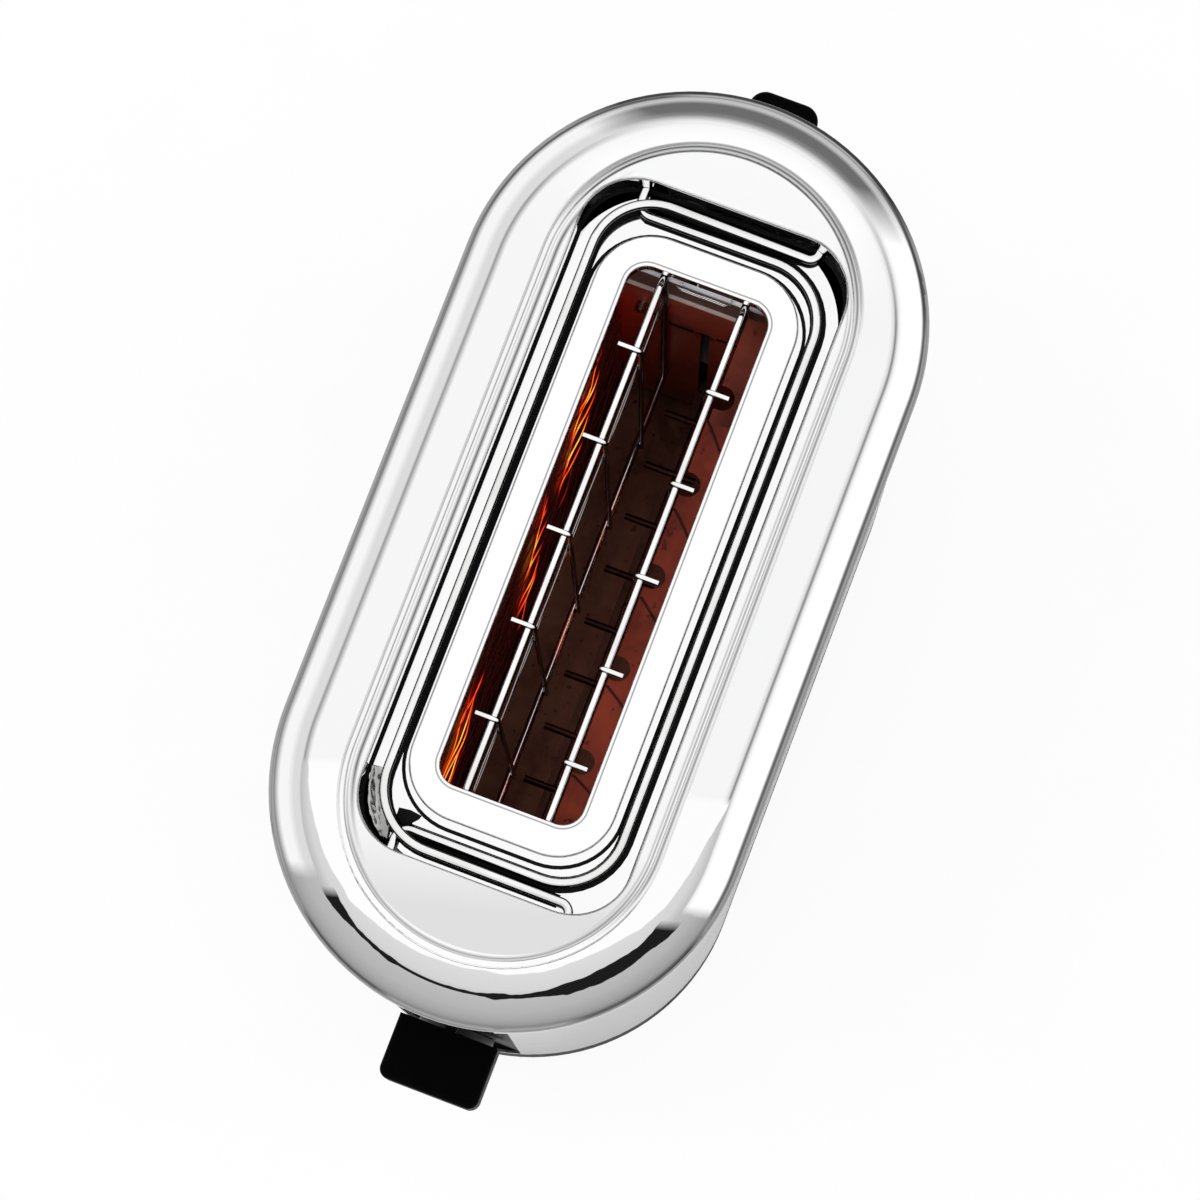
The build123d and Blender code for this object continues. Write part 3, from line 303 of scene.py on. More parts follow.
class Nodes:
    """A node tree, with short calls for what the materials and the world share."""

    def __init__(self, tree):
        self.tree = tree
        self.tree.nodes.clear()

    def add(self, kind, inputs=None, **settings):
        """A new node with its settings, and with values for some of its inputs."""
        node = self.tree.nodes.new(kind)
        for key, value in settings.items():
            setattr(node, key, value)
        for key, value in (inputs or {}).items():
            node.inputs[key].default_value = value
        return node

    def join(self, source, target):
        self.tree.links.new(source, target)

    def axes(self, vector):
        """A vector's three parts."""
        split = self.add("ShaderNodeSeparateXYZ")
        self.join(vector, split.inputs[0])
        return tuple(split.outputs)

    def ramp(self, value, stops):
        node = self.add("ShaderNodeValToRGB")
        while len(node.color_ramp.elements) < len(stops):
            node.color_ramp.elements.new(0.5)
        for element, (place, color) in zip(node.color_ramp.elements, stops):
            element.position = place
            element.color = (*color, 1.0)
        self.join(value, node.inputs["Fac"])
        return node.outputs["Color"]

    def math(self, operation, *values):
        node = self.add("ShaderNodeMath", operation=operation)
        for socket, value in zip(node.inputs, values):
            if isinstance(value, (int, float)):
                socket.default_value = value
            else:
                self.join(value, socket)
        return node.outputs[0]

    def plus(self, first, second):
        return self.math("ADD", first, second)

    def minus(self, first, second):
        return self.math("SUBTRACT", first, second)

    def times(self, first, second):
        return self.math("MULTIPLY", first, second)

    def weighted(self, share, first, second):
        """The share of the first value added to the rest of the second."""
        rest = self.minus(1.0, share)
        return self.plus(self.times(first, share), self.times(second, rest))


class Shader(Nodes):
    """One material's node tree."""

    def __init__(self, name, color, metallic, roughness):
        self.material = bpy.data.materials.new(name)
        self.material.use_nodes = True
        super().__init__(self.material.node_tree)
        inputs = {"Base Color": (*color, 1.0), "Metallic": metallic, "Roughness": roughness}
        self.surface = self.add("ShaderNodeBsdfPrincipled", inputs)
        self.output = self.add("ShaderNodeOutputMaterial")
        self.join(self.surface.outputs[0], self.output.inputs[0])
        self.place = self.add("ShaderNodeTexCoord").outputs["Object"]

    def stretched(self, scale):
        """The object's own coordinates, scaled along each axis."""
        mapping = self.add("ShaderNodeMapping", {"Scale": scale})
        self.join(self.place, mapping.inputs["Vector"])
        return mapping.outputs["Vector"]

    def noise(self, scale, detail=4.0, rough=0.5, place=None, twist=0.0):
        inputs = {"Scale": scale, "Detail": detail, "Roughness": rough, "Distortion": twist}
        node = self.add("ShaderNodeTexNoise", inputs)
        self.join(place or self.place, node.inputs["Vector"])
        return node.outputs["Fac"]

    def spread(self, value, low, high, start=0.0, end=1.0):
        """A value mapped from one range to another, and held inside it."""
        inputs = {"From Min": start, "From Max": end, "To Min": low, "To Max": high}
        node = self.add("ShaderNodeMapRange", inputs)
        self.join(value, node.inputs["Value"])
        return node.outputs["Result"]

    def past(self, value, limit):
        """How far a value lies past a limit on either side of zero, or nothing."""
        return self.math("MAXIMUM", self.minus(self.math("ABSOLUTE", value), limit), 0.0)

    def length(self, first, second):
        squares = [self.times(value, value) for value in (first, second)]
        return self.math("SQRT", self.plus(*squares))

    def bump(self, height, distance, under=None):
        node = self.add("ShaderNodeBump", {"Distance": distance, "Strength": 1.0})
        self.join(height, node.inputs["Height"])
        if under:
            self.join(under, node.inputs["Normal"])
        return node.outputs["Normal"]

    def blend(self, share, first, second, way="MIX"):
        node = self.add("ShaderNodeMix", data_type="RGBA", blend_type=way)
        for socket, value in (("Factor", share), ("A", first), ("B", second)):
            if isinstance(value, tuple):
                node.inputs[socket].default_value = (*value, 1.0)
            elif isinstance(value, float):
                node.inputs[socket].default_value = value
            else:
                self.join(value, node.inputs[socket])
        return node.outputs["Result"]

    def put(self, value, socket):
        self.join(value, self.surface.inputs[socket])

    def put_polish(self, smooth, smeared, breadth, waviness, along=(1.0, 0.04, 1.0)):
        """A few smears, faint waves from pressing, and fine polishing lines."""
        smears = self.noise(34.0, 6.0, 0.6, twist=0.4)
        self.put(self.spread(smears, smooth, smeared, 0.35, 0.8), "Roughness")
        waves = self.bump(self.noise(breadth, 1.5, 0.4), waviness)
        lines = self.noise(900.0, 2.0, 0.5, place=self.stretched(along))
        self.put(self.bump(lines, 0.0000012, under=waves), "Normal")


def polished_well(name):
    """The well's steel, mirror polished and faintly cloudy."""
    tone = 0.97
    shader = Shader(name, cool(tone), 1.0, 0.05)
    shader.put_polish(0.03, 0.12, 26.0, 0.00012)
    tint = shader.noise(9.0, 3.0, 0.5)
    shader.put(shader.ramp(tint, ((0.35, grey(tone * 0.95)), (0.7, grey(tone)))), "Base Color")
    return shader.material


def polished_cover(name):
    """The cover's steel, with the studio's reflections drawn by the place on the part: tones across lip and
    ring, fine lines along the bead, and a black fold and a bright patch at the near end."""
    shader = Shader(name, grey(0.9), 1.0, 0.04)
    shader.put_polish(0.022, 0.075, 17.0, 0.00030)
    x, y, z = shader.axes(shader.place)
    reach = shader.length(x, shader.past(y, rim_straight))
    slanted = shader.minus(shader.times(x, math.sin(near_slant)),
                          shader.times(y, math.cos(near_slant)))
    is_lip = shader.spread(reach, 0.0, 1.0, *lip_inner)
    on_right = shader.spread(x, 0.0, 1.0, -middle_blur, middle_blur)

    def ragged(scale, amount):
        return shader.times(shader.minus(shader.noise(scale, 3.0, 0.55), 0.5), amount)

    def tones(stops):
        marks = [((mm * MM - tone_start) / (tone_end - tone_start), cool(tone)) for mm, tone in stops]
        return shader.ramp(shader.spread(reach, 0.0, 1.0, tone_start, tone_end), marks)

    edge = shader.spread(slanted, patch_wide, patch_narrow, patch_start, patch_end)
    edge = shader.plus(edge, ragged(*patch_ragged))
    patch = shader.spread(shader.minus(edge, reach), 0.0, 1.0, 0.0, patch_blur)
    near = shader.blend(patch, tones(near_tones), patch_highlight_color)
    on_plateau = shader.spread(reach, 1.0, 0.0, plateau_edge, plateau_edge + plateau_blur)
    plateau = shader.spread(slanted, *plateau_tones, plateau_start, plateau_end)
    near_lip = shader.plus(slanted, ragged(*near_ragged))
    near_lip = shader.spread(near_lip, 0.0, 1.0, near_start, near_end)
    near_ring = shader.spread(slanted, 0.0, 1.0, patch_start, patch_start + patch_blend)
    sides = shader.blend(on_right, tones(left_tones), tones(right_tones))
    tone = shader.blend(shader.weighted(is_lip, near_lip, near_ring), sides, near)
    tone = shader.blend(on_plateau, tone, plateau)

    far_lip = shader.plus(y, ragged(*far_ragged))
    far_lip = shader.spread(far_lip, 0.0, 1.0, far_lip_start, far_lip_end)
    far_ring = shader.spread(y, 0.0, 1.0, far_ring_start, far_ring_end)
    tone = shader.blend(shader.weighted(is_lip, far_lip, far_ring), tone, tones(far_tones))

    bead = shader.length(x, shader.past(y, bead_straight))
    bead = shader.spread(bead, 0.0, 1.0, bead_middle - bead_reach, bead_middle + bead_reach)

    def bead_lines(drawn, between=1.0):
        stops = []
        for middle, half, tone in drawn:
            stops += [(middle - half, between), (middle, tone), (middle + half, between)]
        stops[0], stops[-1] = (stops[0][0], 1.0), (stops[-1][0], 1.0)
        marks = [((mm * MM + bead_reach) / (2.0 * bead_reach), grey(tone)) for mm, tone in stops]
        return shader.ramp(bead, marks)

    lines = shader.blend(on_right, bead_lines(bead_left), bead_lines(bead_right))
    at_far = shader.spread(y, 0.0, 1.0, bead_end_start, bead_end_full)
    at_near = shader.spread(y, 1.0, 0.0, -bead_end_full, -bead_end_start)
    lines = shader.blend(at_far, lines, bead_lines(bead_far, bead_far_between))
    lines = shader.blend(at_near, lines, bead_lines(bead_near))
    tone = shader.blend(1.0, tone, lines, "MULTIPLY")

    half = shader.times(shader.past(x, fold_plain), fold_growth)
    half = shader.plus(shader.plus(half, ragged(*fold_ragged)), fold_extra)
    off = shader.math("ABSOLUTE", shader.minus(reach, fold_middle))
    fold = shader.minus(shader.math("MAXIMUM", half, fold_least), off)
    fold = shader.times(shader.spread(fold, 0.0, 1.0, 0.0, fold_blur),
                       shader.spread(slanted, 0.0, 1.0, fold_start, fold_end))
    tone = shader.blend(fold, tone, fold_reflection_color)

    height = shader.minus(z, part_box("top_cover")[1].z - lip_radius)
    above = shader.spread(height, 0.0, 1.0, line_high, line_high + line_blur)
    below = shader.spread(height, 1.0, 0.0, line_low - line_blur, line_low)
    side = shader.blend(below, shader.blend(far_lip, grey(line_plain), grey(line_far)), grey(under_tone))
    side = shader.blend(above, side, tone)
    shader.put(shader.blend(shader.spread(reach, 0.0, 1.0, *lip_outer), tone, side), "Base Color")
    return shader.material


def polished_frame(name):
    """The slot frame's steel, with a fine grey line painted round the slot as the shade of a pressed crease.
    """
    shader = Shader(name, grey(1.0), 1.0, 0.03)
    shader.put_polish(0.018, 0.07, 26.0, 0.00002)
    x, y, _ = shader.axes(shader.place)
    half_width, half_length, corner = slot_outline
    past_side = shader.past(x, half_width - corner)
    past_end = shader.past(shader.minus(y, well_middle), half_length - corner)
    outside = shader.minus(shader.length(past_side, past_end), corner + slot_line_out)
    line = shader.spread(shader.math("ABSOLUTE", outside), 1.0, 0.0, slot_line_half, slot_line_half * 2)
    shader.put(shader.blend(line, grey(1.0), slot_crease_shade), "Base Color")
    return shader.material


def polished_sleeve(name):
    """The sleeve's steel, with painted shade that darkens it towards the base."""
    shader = Shader(name, grey(0.46), 1.0, 0.04)
    shader.put_polish(0.025, 0.085, 26.0, 0.00030, along=(1.0, 1.0, 0.04))
    _, _, height = shader.axes(shader.place)
    stops = [(mm / sleeve_top, cool(tone)) for mm, tone in sleeve_shade_tones]
    shader.put(shader.ramp(shader.spread(height, 0.0, 1.0, 0.0, sleeve_top * MM), stops), "Base Color")
    return shader.material


def bright_wire(name, tone, roughness=0.09, shade_under=0.0):
    """Bright drawn wire, with painted shade that turns it near black where its surface points less far up
    than the given share.
    """
    shader = Shader(name, grey(tone), 1.0, roughness)
    drawn = shader.noise(700.0, 3.0, 0.6, place=shader.stretched((1.0, 0.08, 1.0)))
    shader.put(shader.spread(drawn, roughness * 0.6, roughness * 2.0), "Roughness")
    dark = (tone * 0.86, tone * 0.85, tone * 0.84)
    color = shader.ramp(shader.noise(60.0, 4.0, 0.5), ((0.3, dark), (0.6, grey(tone))))
    # Painted shade: the wire's sides and underside turn near black.
    if shade_under:
        _, _, upward = shader.axes(shader.add("ShaderNodeTexCoord").outputs["Normal"])
        top = shader.spread(upward, 0.0, 1.0, shade_under, shade_under + 0.08)
        color = shader.blend(top, grey(0.03), color)
    shader.put(color, "Base Color")
    shader.put(shader.bump(drawn, 0.000006), "Normal")
    return shader.material


def heat_tinted(name, dark, light, metallic, roughness):
    """Sheet from the heated side: brown to straw tints, soot, faint roll marks and small pits."""
    shader = Shader(name, light, metallic, roughness)
    cloud = shader.noise(42.0, 6.0, 0.62, twist=0.6)
    pits = shader.noise(420.0, 2.0, 0.5)
    mixed = shader.minus(cloud, shader.spread(pits, 0.0, 0.5, 0.66, 0.74))
    shader.put(shader.ramp(mixed, ((0.32, dark), (0.72, light))), "Base Color")
    shader.put(shader.spread(cloud, roughness * 0.75, min(1.0, roughness * 1.5)), "Roughness")
    grain = shader.noise(620.0, 4.0, 0.6, place=shader.stretched((1.0, 0.15, 1.0)))
    shader.put(shader.bump(grain, 0.00002), "Normal")
    shader.surface.inputs["Specular IOR Level"].default_value = 0.15
    return shader.material


def rear_wall_sheet(name):
    """Rear wall of the chamber: brown sheet with the left heater's red glow painted on low to the left, and
    two pressed ribs painted as bright highlight bands with dark shade lines.
    """
    shader = Shader(name, (0.09, 0.02, 0.014), 0.0, 0.45)
    x, y, z = shader.axes(shader.place)
    cloud = shader.noise(42.0, 6.0, 0.62, twist=0.6)
    brown = shader.ramp(cloud, ((0.32, (0.20, 0.034, 0.020)), (0.72, (0.52, 0.105, 0.062))))
    # Painted red glow of the left heater, strongest low on the left.
    red = shader.spread(x, 1.0, 0.0, *glow_across)
    red = shader.times(red, shader.spread(z, 1.0, 0.0, *glow_up))
    glow_lit = shader.blend(red, brown, (0.80, 0.050, 0.022))
    # Painted highlights and dark shade lines of the two pressed ribs.
    steel = shader.ramp(shader.spread(z, 0.0, 1.0, *rib_levels), rib_highlight_stops)
    upper = shader.blend(shader.spread(z, 0.0, 1.0, *rib_edge), glow_lit, steel)
    proud = shader.spread(y, 1.0, 0.0, *plate_front)
    shader.put(shader.blend(proud, upper, (0.16, 0.085, 0.065)), "Base Color")
    shader.put(shader.spread(cloud, 0.22, 0.5), "Roughness")
    shader.surface.inputs["Specular IOR Level"].default_value = 0.2
    grain = shader.noise(620.0, 4.0, 0.6, place=shader.stretched((0.15, 1.0, 1.0)))
    shader.put(shader.bump(grain, 0.00002), "Normal")
    return shader.material


def brushed(name, tone, roughness=0.32):
    """Plated steel with fine upright brush marks."""
    shader = Shader(name, grey(tone), 1.0, roughness)
    lines = shader.noise(520.0, 5.0, 0.65, place=shader.stretched((1.0, 1.0, 0.05)))
    low = tone * 0.78
    shader.put(shader.ramp(lines, ((0.3, (low, low, low * 0.98)), (0.7, grey(tone)))), "Base Color")
    shader.put(shader.spread(lines, roughness * 0.7, roughness * 1.5), "Roughness")
    shader.put(shader.bump(lines, 0.000012), "Normal")
    return shader.material


def moulded(name, color, roughness, level=0.4):
    """Moulded plastic with a fine spark-eroded grain and slight rubbing on what stands proud."""
    shader = Shader(name, color, 0.0, roughness)
    fine = shader.noise(2100.0, 3.0, 0.55)
    broad = shader.noise(70.0, 4.0, 0.5)
    worn = tuple(min(1.0, part * 1.9) for part in color)
    shader.put(shader.ramp(broad, ((0.35, color), (0.85, worn))), "Base Color")
    shader.put(shader.spread(broad, roughness * 0.85, min(1.0, roughness * 1.25)), "Roughness")
    shader.put(shader.bump(fine, 0.00005), "Normal")
    shader.surface.inputs["Specular IOR Level"].default_value = level
    return shader.material


def rubber(name, low=0.018, high=0.06):
    """Matt rubber with dust in its grain."""
    shader = Shader(name, grey(low), 0.0, 0.8)
    dust = shader.noise(180.0, 6.0, 0.7)
    shader.put(shader.ramp(dust, ((0.4, grey(low)), (0.8, (high, high * 0.97, high * 0.93)))), "Base Color")
    shader.put(shader.bump(shader.noise(1500.0, 3.0), 0.00006), "Normal")
    shader.surface.inputs["Specular IOR Level"].default_value = 0.2
    return shader.material


def mica(name):
    """Pressed mica board: flaky layers, browned by heat."""
    shader = Shader(name, (0.16, 0.07, 0.04), 0.0, 0.55)
    flakes = shader.add("ShaderNodeTexVoronoi", {"Scale": 260.0})
    shader.join(shader.place, flakes.inputs["Vector"])
    cloud = shader.noise(50.0, 5.0, 0.6, twist=0.5)
    cloudy = shader.times(cloud, 0.8)
    mixed = shader.plus(cloudy, shader.times(flakes.outputs[0], 0.3))
    stops = ((0.3, (0.060, 0.014, 0.008)), (0.55, (0.20, 0.045, 0.024)), (0.8, (0.36, 0.11, 0.055)))
    shader.put(shader.ramp(mixed, stops), "Base Color")
    shader.put(shader.bump(flakes.outputs[0], 0.00008), "Normal")
    return shader.material


def glowing_ribbon(name):
    """Resistance ribbon: dull oxide, red to yellow hot in three slanted bundles down each card."""
    shader = Shader(name, (0.030, 0.012, 0.010), 0.5, 0.5)
    _, y, z = shader.axes(shader.place)
    wander = shader.times(shader.minus(shader.noise(45.0, 2.0, 0.5), 0.5), glow_wander)
    height = shader.plus(z, wander)
    heat = None
    for (rear_y, rear_z), (front_y, front_z) in glow_bundles:
        half = (rear_y - front_y) / 2
        middle = (rear_y + front_y) / 2
        along = shader.math("DIVIDE", shader.minus(y, middle), half)
        center = shader.spread(y, front_z, rear_z, front_y, rear_y)
        off = shader.math("DIVIDE", shader.minus(height, center), glow_half_height)
        square = shader.plus(shader.times(along, along), shader.times(off, off))
        level = shader.math("MAXIMUM", shader.minus(1.0, square), 0.0)
        heat = level if heat is None else shader.math("MAXIMUM", heat, level)
    streaks = shader.noise(420.0, 3.0, 0.7, place=shader.stretched((1.0, 0.06, 1.0)))
    heat = shader.times(heat, shader.spread(streaks, 0.15, 1.5, 0.32, 0.68))
    stops = ((0.0, (0.012, 0.001, 0.001)), (0.18, (0.30, 0.006, 0.002)), (0.45, (1.0, 0.040, 0.004)),
             (0.75, (1.0, 0.20, 0.012)), (1.0, (1.0, 0.62, 0.08)))
    shader.put(shader.ramp(heat, stops), "Emission Color")
    shader.surface.inputs["Emission Strength"].default_value = 1.3
    return shader.material


def copper_winding(name):
    """Enamelled copper wire, wound in level turns."""
    shader = Shader(name, (0.50, 0.18, 0.07), 0.9, 0.3)
    turns = shader.add("ShaderNodeTexWave", {"Scale": 420.0}, bands_direction="Z")
    shader.join(shader.place, turns.inputs["Vector"])
    stops = ((0.2, (0.22, 0.06, 0.02)), (0.7, (0.60, 0.22, 0.08)))
    shader.put(shader.ramp(turns.outputs["Fac"], stops), "Base Color")
    shader.put(shader.bump(turns.outputs["Fac"], 0.0002), "Normal")
    return shader.material


def circuit_board(name):
    """Green lacquer over faint copper tracks."""
    shader = Shader(name, (0.03, 0.14, 0.06), 0.0, 0.35)
    tracks = shader.noise(160.0, 1.0, 0.3)
    stops = ((0.46, (0.015, 0.09, 0.035)), (0.5, (0.05, 0.22, 0.09)), (0.54, (0.015, 0.09, 0.035)))
    shader.put(shader.ramp(tracks, stops), "Base Color")
    shader.put(shader.bump(tracks, 0.00003), "Normal")
    return shader.material


def dress(material, *names):
    """Gives a CAD node its material."""
    for name in names:
        mesh = nodes[name].data
        mesh.materials.clear()
        mesh.materials.append(material)


def placed(name, data):
    """A new object in the scene."""
    thing = bpy.data.objects.new(name, data)
    bpy.context.scene.collection.objects.link(thing)
    return thing


def new_piece(name, mesh_data, material, body, smooth=True):
    """A mesh object that rides on a body."""
    mesh = bpy.data.meshes.new(name)
    mesh_data.to_mesh(mesh)
    mesh_data.free()
    mesh.materials.append(material)
    for face in mesh.polygons:
        face.use_smooth = smooth
    piece = placed(name, mesh)
    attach(piece, body)
    return piece


def thicken(piece, thickness):
    """Gives a sheet its thickness."""
    thick = piece.modifiers.new("sheet", "SOLIDIFY")
    thick.thickness = thickness
    thick.offset = -1.0


def skin(mesh, rings, closed=False):
    """Faces from each ring of corners to the next, closed to a loop or with a cap at both ends."""
    for first, second in zip(rings, rings[1:] + rings[:1] if closed else rings[1:]):
        for index in range(len(first)):
            after = (index + 1) % len(first)
            mesh.faces.new((first[index], first[after], second[after], second[index]))
    if not closed:
        mesh.faces.new(rings[0][::-1])
        mesh.faces.new(rings[-1])


def sweep_strip(mesh, path, across, thickness):
    """Flat strip along a path of (point, outward) pairs; across is half its width."""
    rings = []
    for point, outward in path:
        half = outward * (thickness / 2)
        corners = (point + across + half, point + across - half, point - across - half, point - across + half)
        rings.append([mesh.verts.new(corner) for corner in corners])
    skin(mesh, rings)


def sweep_round(mesh, points, radius, sides=8):
    """Round wire through points that are nowhere straight above each other."""
    rings = []
    angles = [2.0 * math.pi * step / sides for step in range(sides)]
    for index, point in enumerate(points):
        ahead = points[min(index + 1, len(points) - 1)] - points[max(index - 1, 0)]
        side = ahead.cross(Vector((0.0, 0.0, 1.0))).normalized()
        over = side.cross(ahead).normalized()
        around = [side * math.cos(angle) + over * math.sin(angle) for angle in angles]
        rings.append([mesh.verts.new(point + out * radius) for out in around])
    skin(mesh, rings)


def sweep_curve(mesh, place, steps, radius):
    """Round wire along a curve, given as a function of the share of the way."""
    sweep_round(mesh, [Vector(place(step / steps)) for step in range(steps + 1)], radius)


def swaying(start, end, outward, chance):
    """Points from start to end that wander up and down and away from the card, as slack ribbon does."""
    length = (end - start).length
    count = max(2, int(length / ribbon_step))
    phases = [chance.uniform(0.0, 2.0 * math.pi) for _ in range(4)]
    waves = [chance.uniform(*lengths) for lengths in ribbon_waves]
    points = []
    for index in range(count + 1):
        share = index / count
        ease = min(1.0, ribbon_ease * share, ribbon_ease * (1.0 - share))
        travel = 2.0 * math.pi * length * share
        up = 0.72 * math.sin(travel / waves[0] + phases[0]) + 0.28 * math.sin(travel / waves[1] + phases[1])
        out = 0.5 + 0.5 * math.sin(travel / waves[2] + phases[2])
        shift = outward * (ribbon_bulge * ease * out) + Vector((0.0, 0.0, ribbon_sway * ease * up))
        lean = 0.5 * math.sin(travel / waves[0] + phases[3])
        facing = (outward + Vector((0.0, 0.0, lean))).normalized()
        points.append((start.lerp(end, share) + shift, facing))
    return points


def ribbon_turn(x, y, z, bend, way, side):
    """Half turn round one end of a card, from the inner face to the outer one or back."""
    points = []
    for step in range(1, 8):
        angle = math.pi * step / 8
        out = Vector((-side * math.cos(angle), way * math.sin(angle), 0.0))
        points.append((Vector((x, y, z)) + out * bend, out))
    return points


def make_ribbon(side, name, node):
    """Ribbon wound round one card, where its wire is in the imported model."""
    low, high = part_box("heater_card_right" if side > 0 else "heater_card_left")
    x = (low.x + high.x) / 2
    bend = (high.x - low.x) / 2 + ribbon_card_gap
    winding_low, winding_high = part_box(node)
    front = winding_low.y + bend
    rear = winding_high.y - bend
    first = winding_low.z + winding_radius
    pitch = (winding_high.z - winding_radius - first) / (ribbon_loops - 1)
    chance = random.Random(7 + side)
    path = []
    inward = Vector((-side, 0.0, 0.0))
    for loop in range(ribbon_loops):
        z = first + loop * pitch
        start = Vector((x, front, z)) + inward * bend
        end = Vector((x, rear, z)) + inward * bend
        path += swaying(start, end, inward, chance)
        if loop == ribbon_loops - 1:
            break
        path += ribbon_turn(x, rear, z, bend, 1.0, side)
        back = Vector((x, rear, z)) - inward * bend
        up = Vector((x, front, z + pitch)) - inward * bend
        path += swaying(back, up, -inward, chance)
        path += ribbon_turn(x, front, z + pitch, bend, -1.0, side)[::-1]
    mesh = bmesh.new()
    sweep_strip(mesh, path, Vector((0.0, 0.0, ribbon_width / 2)), ribbon_sheet)
    piece = new_piece(name, mesh, ribbon_material, "root")
    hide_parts(node)


def liner_edge_points(ends, notches):
    """Inner edge of a liner from front to rear, with round-ended notches."""
    points = [(liner_edge, ends[0])]
    for y, depth in notches:
        points.append((liner_edge, y - notch_half))
        for step in range(notch_steps + 1):
            angle = -math.pi / 2 + math.pi * step / notch_steps
            x = liner_edge + depth - notch_half + notch_half * math.cos(angle)
            points.append((x, y + notch_half * math.sin(angle)))
        points.append((liner_edge, y + notch_half))
    points.append((liner_edge, ends[1]))
    return points


def hook_notch(index):
    """Where along the slot, and how deep, a liner is notched for one of the right guard's hooks."""
    return hook_rear_right - index * hook_pitch + notch_shift, notch_depth


def make_liner(name, level, ends, notches, material):
    """Sheet that runs from the right guard out to the reflector, which holds it."""
    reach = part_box("reflector_right")[0].x
    mesh = bmesh.new()
    edge = liner_edge_points(ends, notches)
    for (x0, y0), (x1, y1) in zip(edge, edge[1:]):
        if abs(y1 - y0) < 1e-9:
            continue
        corners = ((x0, y0), (reach, y0), (reach, y1), (x1, y1))
        mesh.faces.new([mesh.verts.new((x, y, level)) for x, y in corners])
    bmesh.ops.remove_doubles(mesh, verts=mesh.verts, dist=1e-7)
    thicken(new_piece(name, mesh, material, "root", smooth=False), liner_sheet)


def make_liner_creases():
    """Slanted raised crease on the liner below each notch, near black as a painted shadow of the upright
    above it.
    """
    mesh = bmesh.new()
    for index in range(hook_count):
        y = hook_rear_right - index * hook_pitch
        start, drop = (base + slope * (y - crease_front) for base, slope in (crease_start, crease_drop))

        def place(share):
            x = liner_edge + crease_inset + (crease_reach - liner_edge) * share
            return x, y + start - drop * share * (1.0 + crease_bend * share), liner_level

        sweep_curve(mesh, place, crease_steps, crease_radius)
    new_piece("liner_creases", mesh, crease_shadow_material, "root")


def make_stays():
    """Thin wires along each guard under its top rail, welded to the uprights."""
    for side, name, body in ((1, "guard_stay_right", "right_guard"), (-1, "guard_stay_left", "left_guard")):
        mesh = bmesh.new()
        for level in stay_levels:
            def place(share):
                y = stay_ends[0] + (stay_ends[1] - stay_ends[0]) * share
                return side * stay_offset + stay_sway * math.sin(190.0 * y + 900.0 * level), y, level

            sweep_curve(mesh, place, stay_steps, stay_radius)
        new_piece(name, mesh, stay_material, body)


def rounded_outline(outline, height):
    """Points round an outline of half width, half length and corner radius, about the middle of the well."""
    half_width, half_length, corner = outline
    points = []
    for sign_x, sign_y, begin in ((1, 1, 0.0), (-1, 1, 0.5), (-1, -1, 1.0), (1, -1, 1.5)):
        for step in range(13):
            angle = math.pi * (begin + 0.5 * step / 12)
            x = sign_x * (half_width - corner) + corner * math.cos(angle)
            y = sign_y * (half_length - corner) + corner * math.sin(angle)
            points.append(Vector((x, y + well_middle, height)))
    return points


def make_seam_shade(name, inner, outer):
    """Flat black ring between two outlines, lying on the tray: a seam at a wall's foot, black as the painted
    shade in that corner.
    """
    mesh = bmesh.new()
    top = well_floor + seam_height
    rings = []
    for outline, height in ((inner, well_floor), (inner, top), (outer, top), (outer, well_floor)):
        rings.append([mesh.verts.new(point) for point in rounded_outline(outline, height)])
    skin(mesh, rings, closed=True)
    new_piece(name, mesh, shade_material, "root", smooth=False)


def make_spring():
    """Return spring, coiled where the imported spring stands."""
    low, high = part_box("return_spring")
    middle = (low + high) / 2
    radius = (high.x - low.x) / 2 - spring_wire_radius
    start = low.z + spring_wire_radius
    rise = high.z - low.z - 2.0 * spring_wire_radius

    def place(share):
        angle = 2.0 * math.pi * spring_turns * share
        return middle.x + radius * math.cos(angle), middle.y + radius * math.sin(angle), start + rise * share

    mesh = bmesh.new()
    sweep_curve(mesh, place, spring_turns * spring_steps, spring_wire_radius)
    piece = new_piece("carriage_spring", mesh, rod_material, "root")
    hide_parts("return_spring")
    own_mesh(piece)


def make_wire_shadow(name, pivot_x, rail_x, reach, inside, outside):
    """Flat black strip on the tray under one wire, as its painted shadow: near arm, rail and far arm."""
    way = 1.0 if rail_x > 0 else -1.0
    corner_x = rail_x - way * shadow_corner
    line = [(Vector((pivot_x, well_middle - reach, 0.0)), Vector((0.0, -1.0, 0.0)))]
    for sign in (-1.0, 1.0):
        center = Vector((corner_x, well_middle + sign * (reach - shadow_corner), 0.0))
        for step in range(shadow_steps + 1):
            share = step / shadow_steps
            turn = 0.5 * math.pi * (share if sign > 0 else 1.0 - share)
            out = Vector((way * math.cos(turn), sign * math.sin(turn), 0.0))
            line.append((center + out * shadow_corner, out))
    line.append((Vector((pivot_x, well_middle + reach, 0.0)), Vector((0.0, 1.0, 0.0))))
    mesh = bmesh.new()
    low = Vector((0.0, 0.0, well_floor))
    high = Vector((0.0, 0.0, well_floor + shadow_height))
    rings = []
    for point, out in line:
        inner = point - out * inside
        outer = point + out * outside
        corners = (inner + low, inner + high, outer + high, outer + low)
        rings.append([mesh.verts.new(corner) for corner in corners])
    skin(mesh, rings)
    new_piece(name, mesh, shade_material, "root", smooth=False)


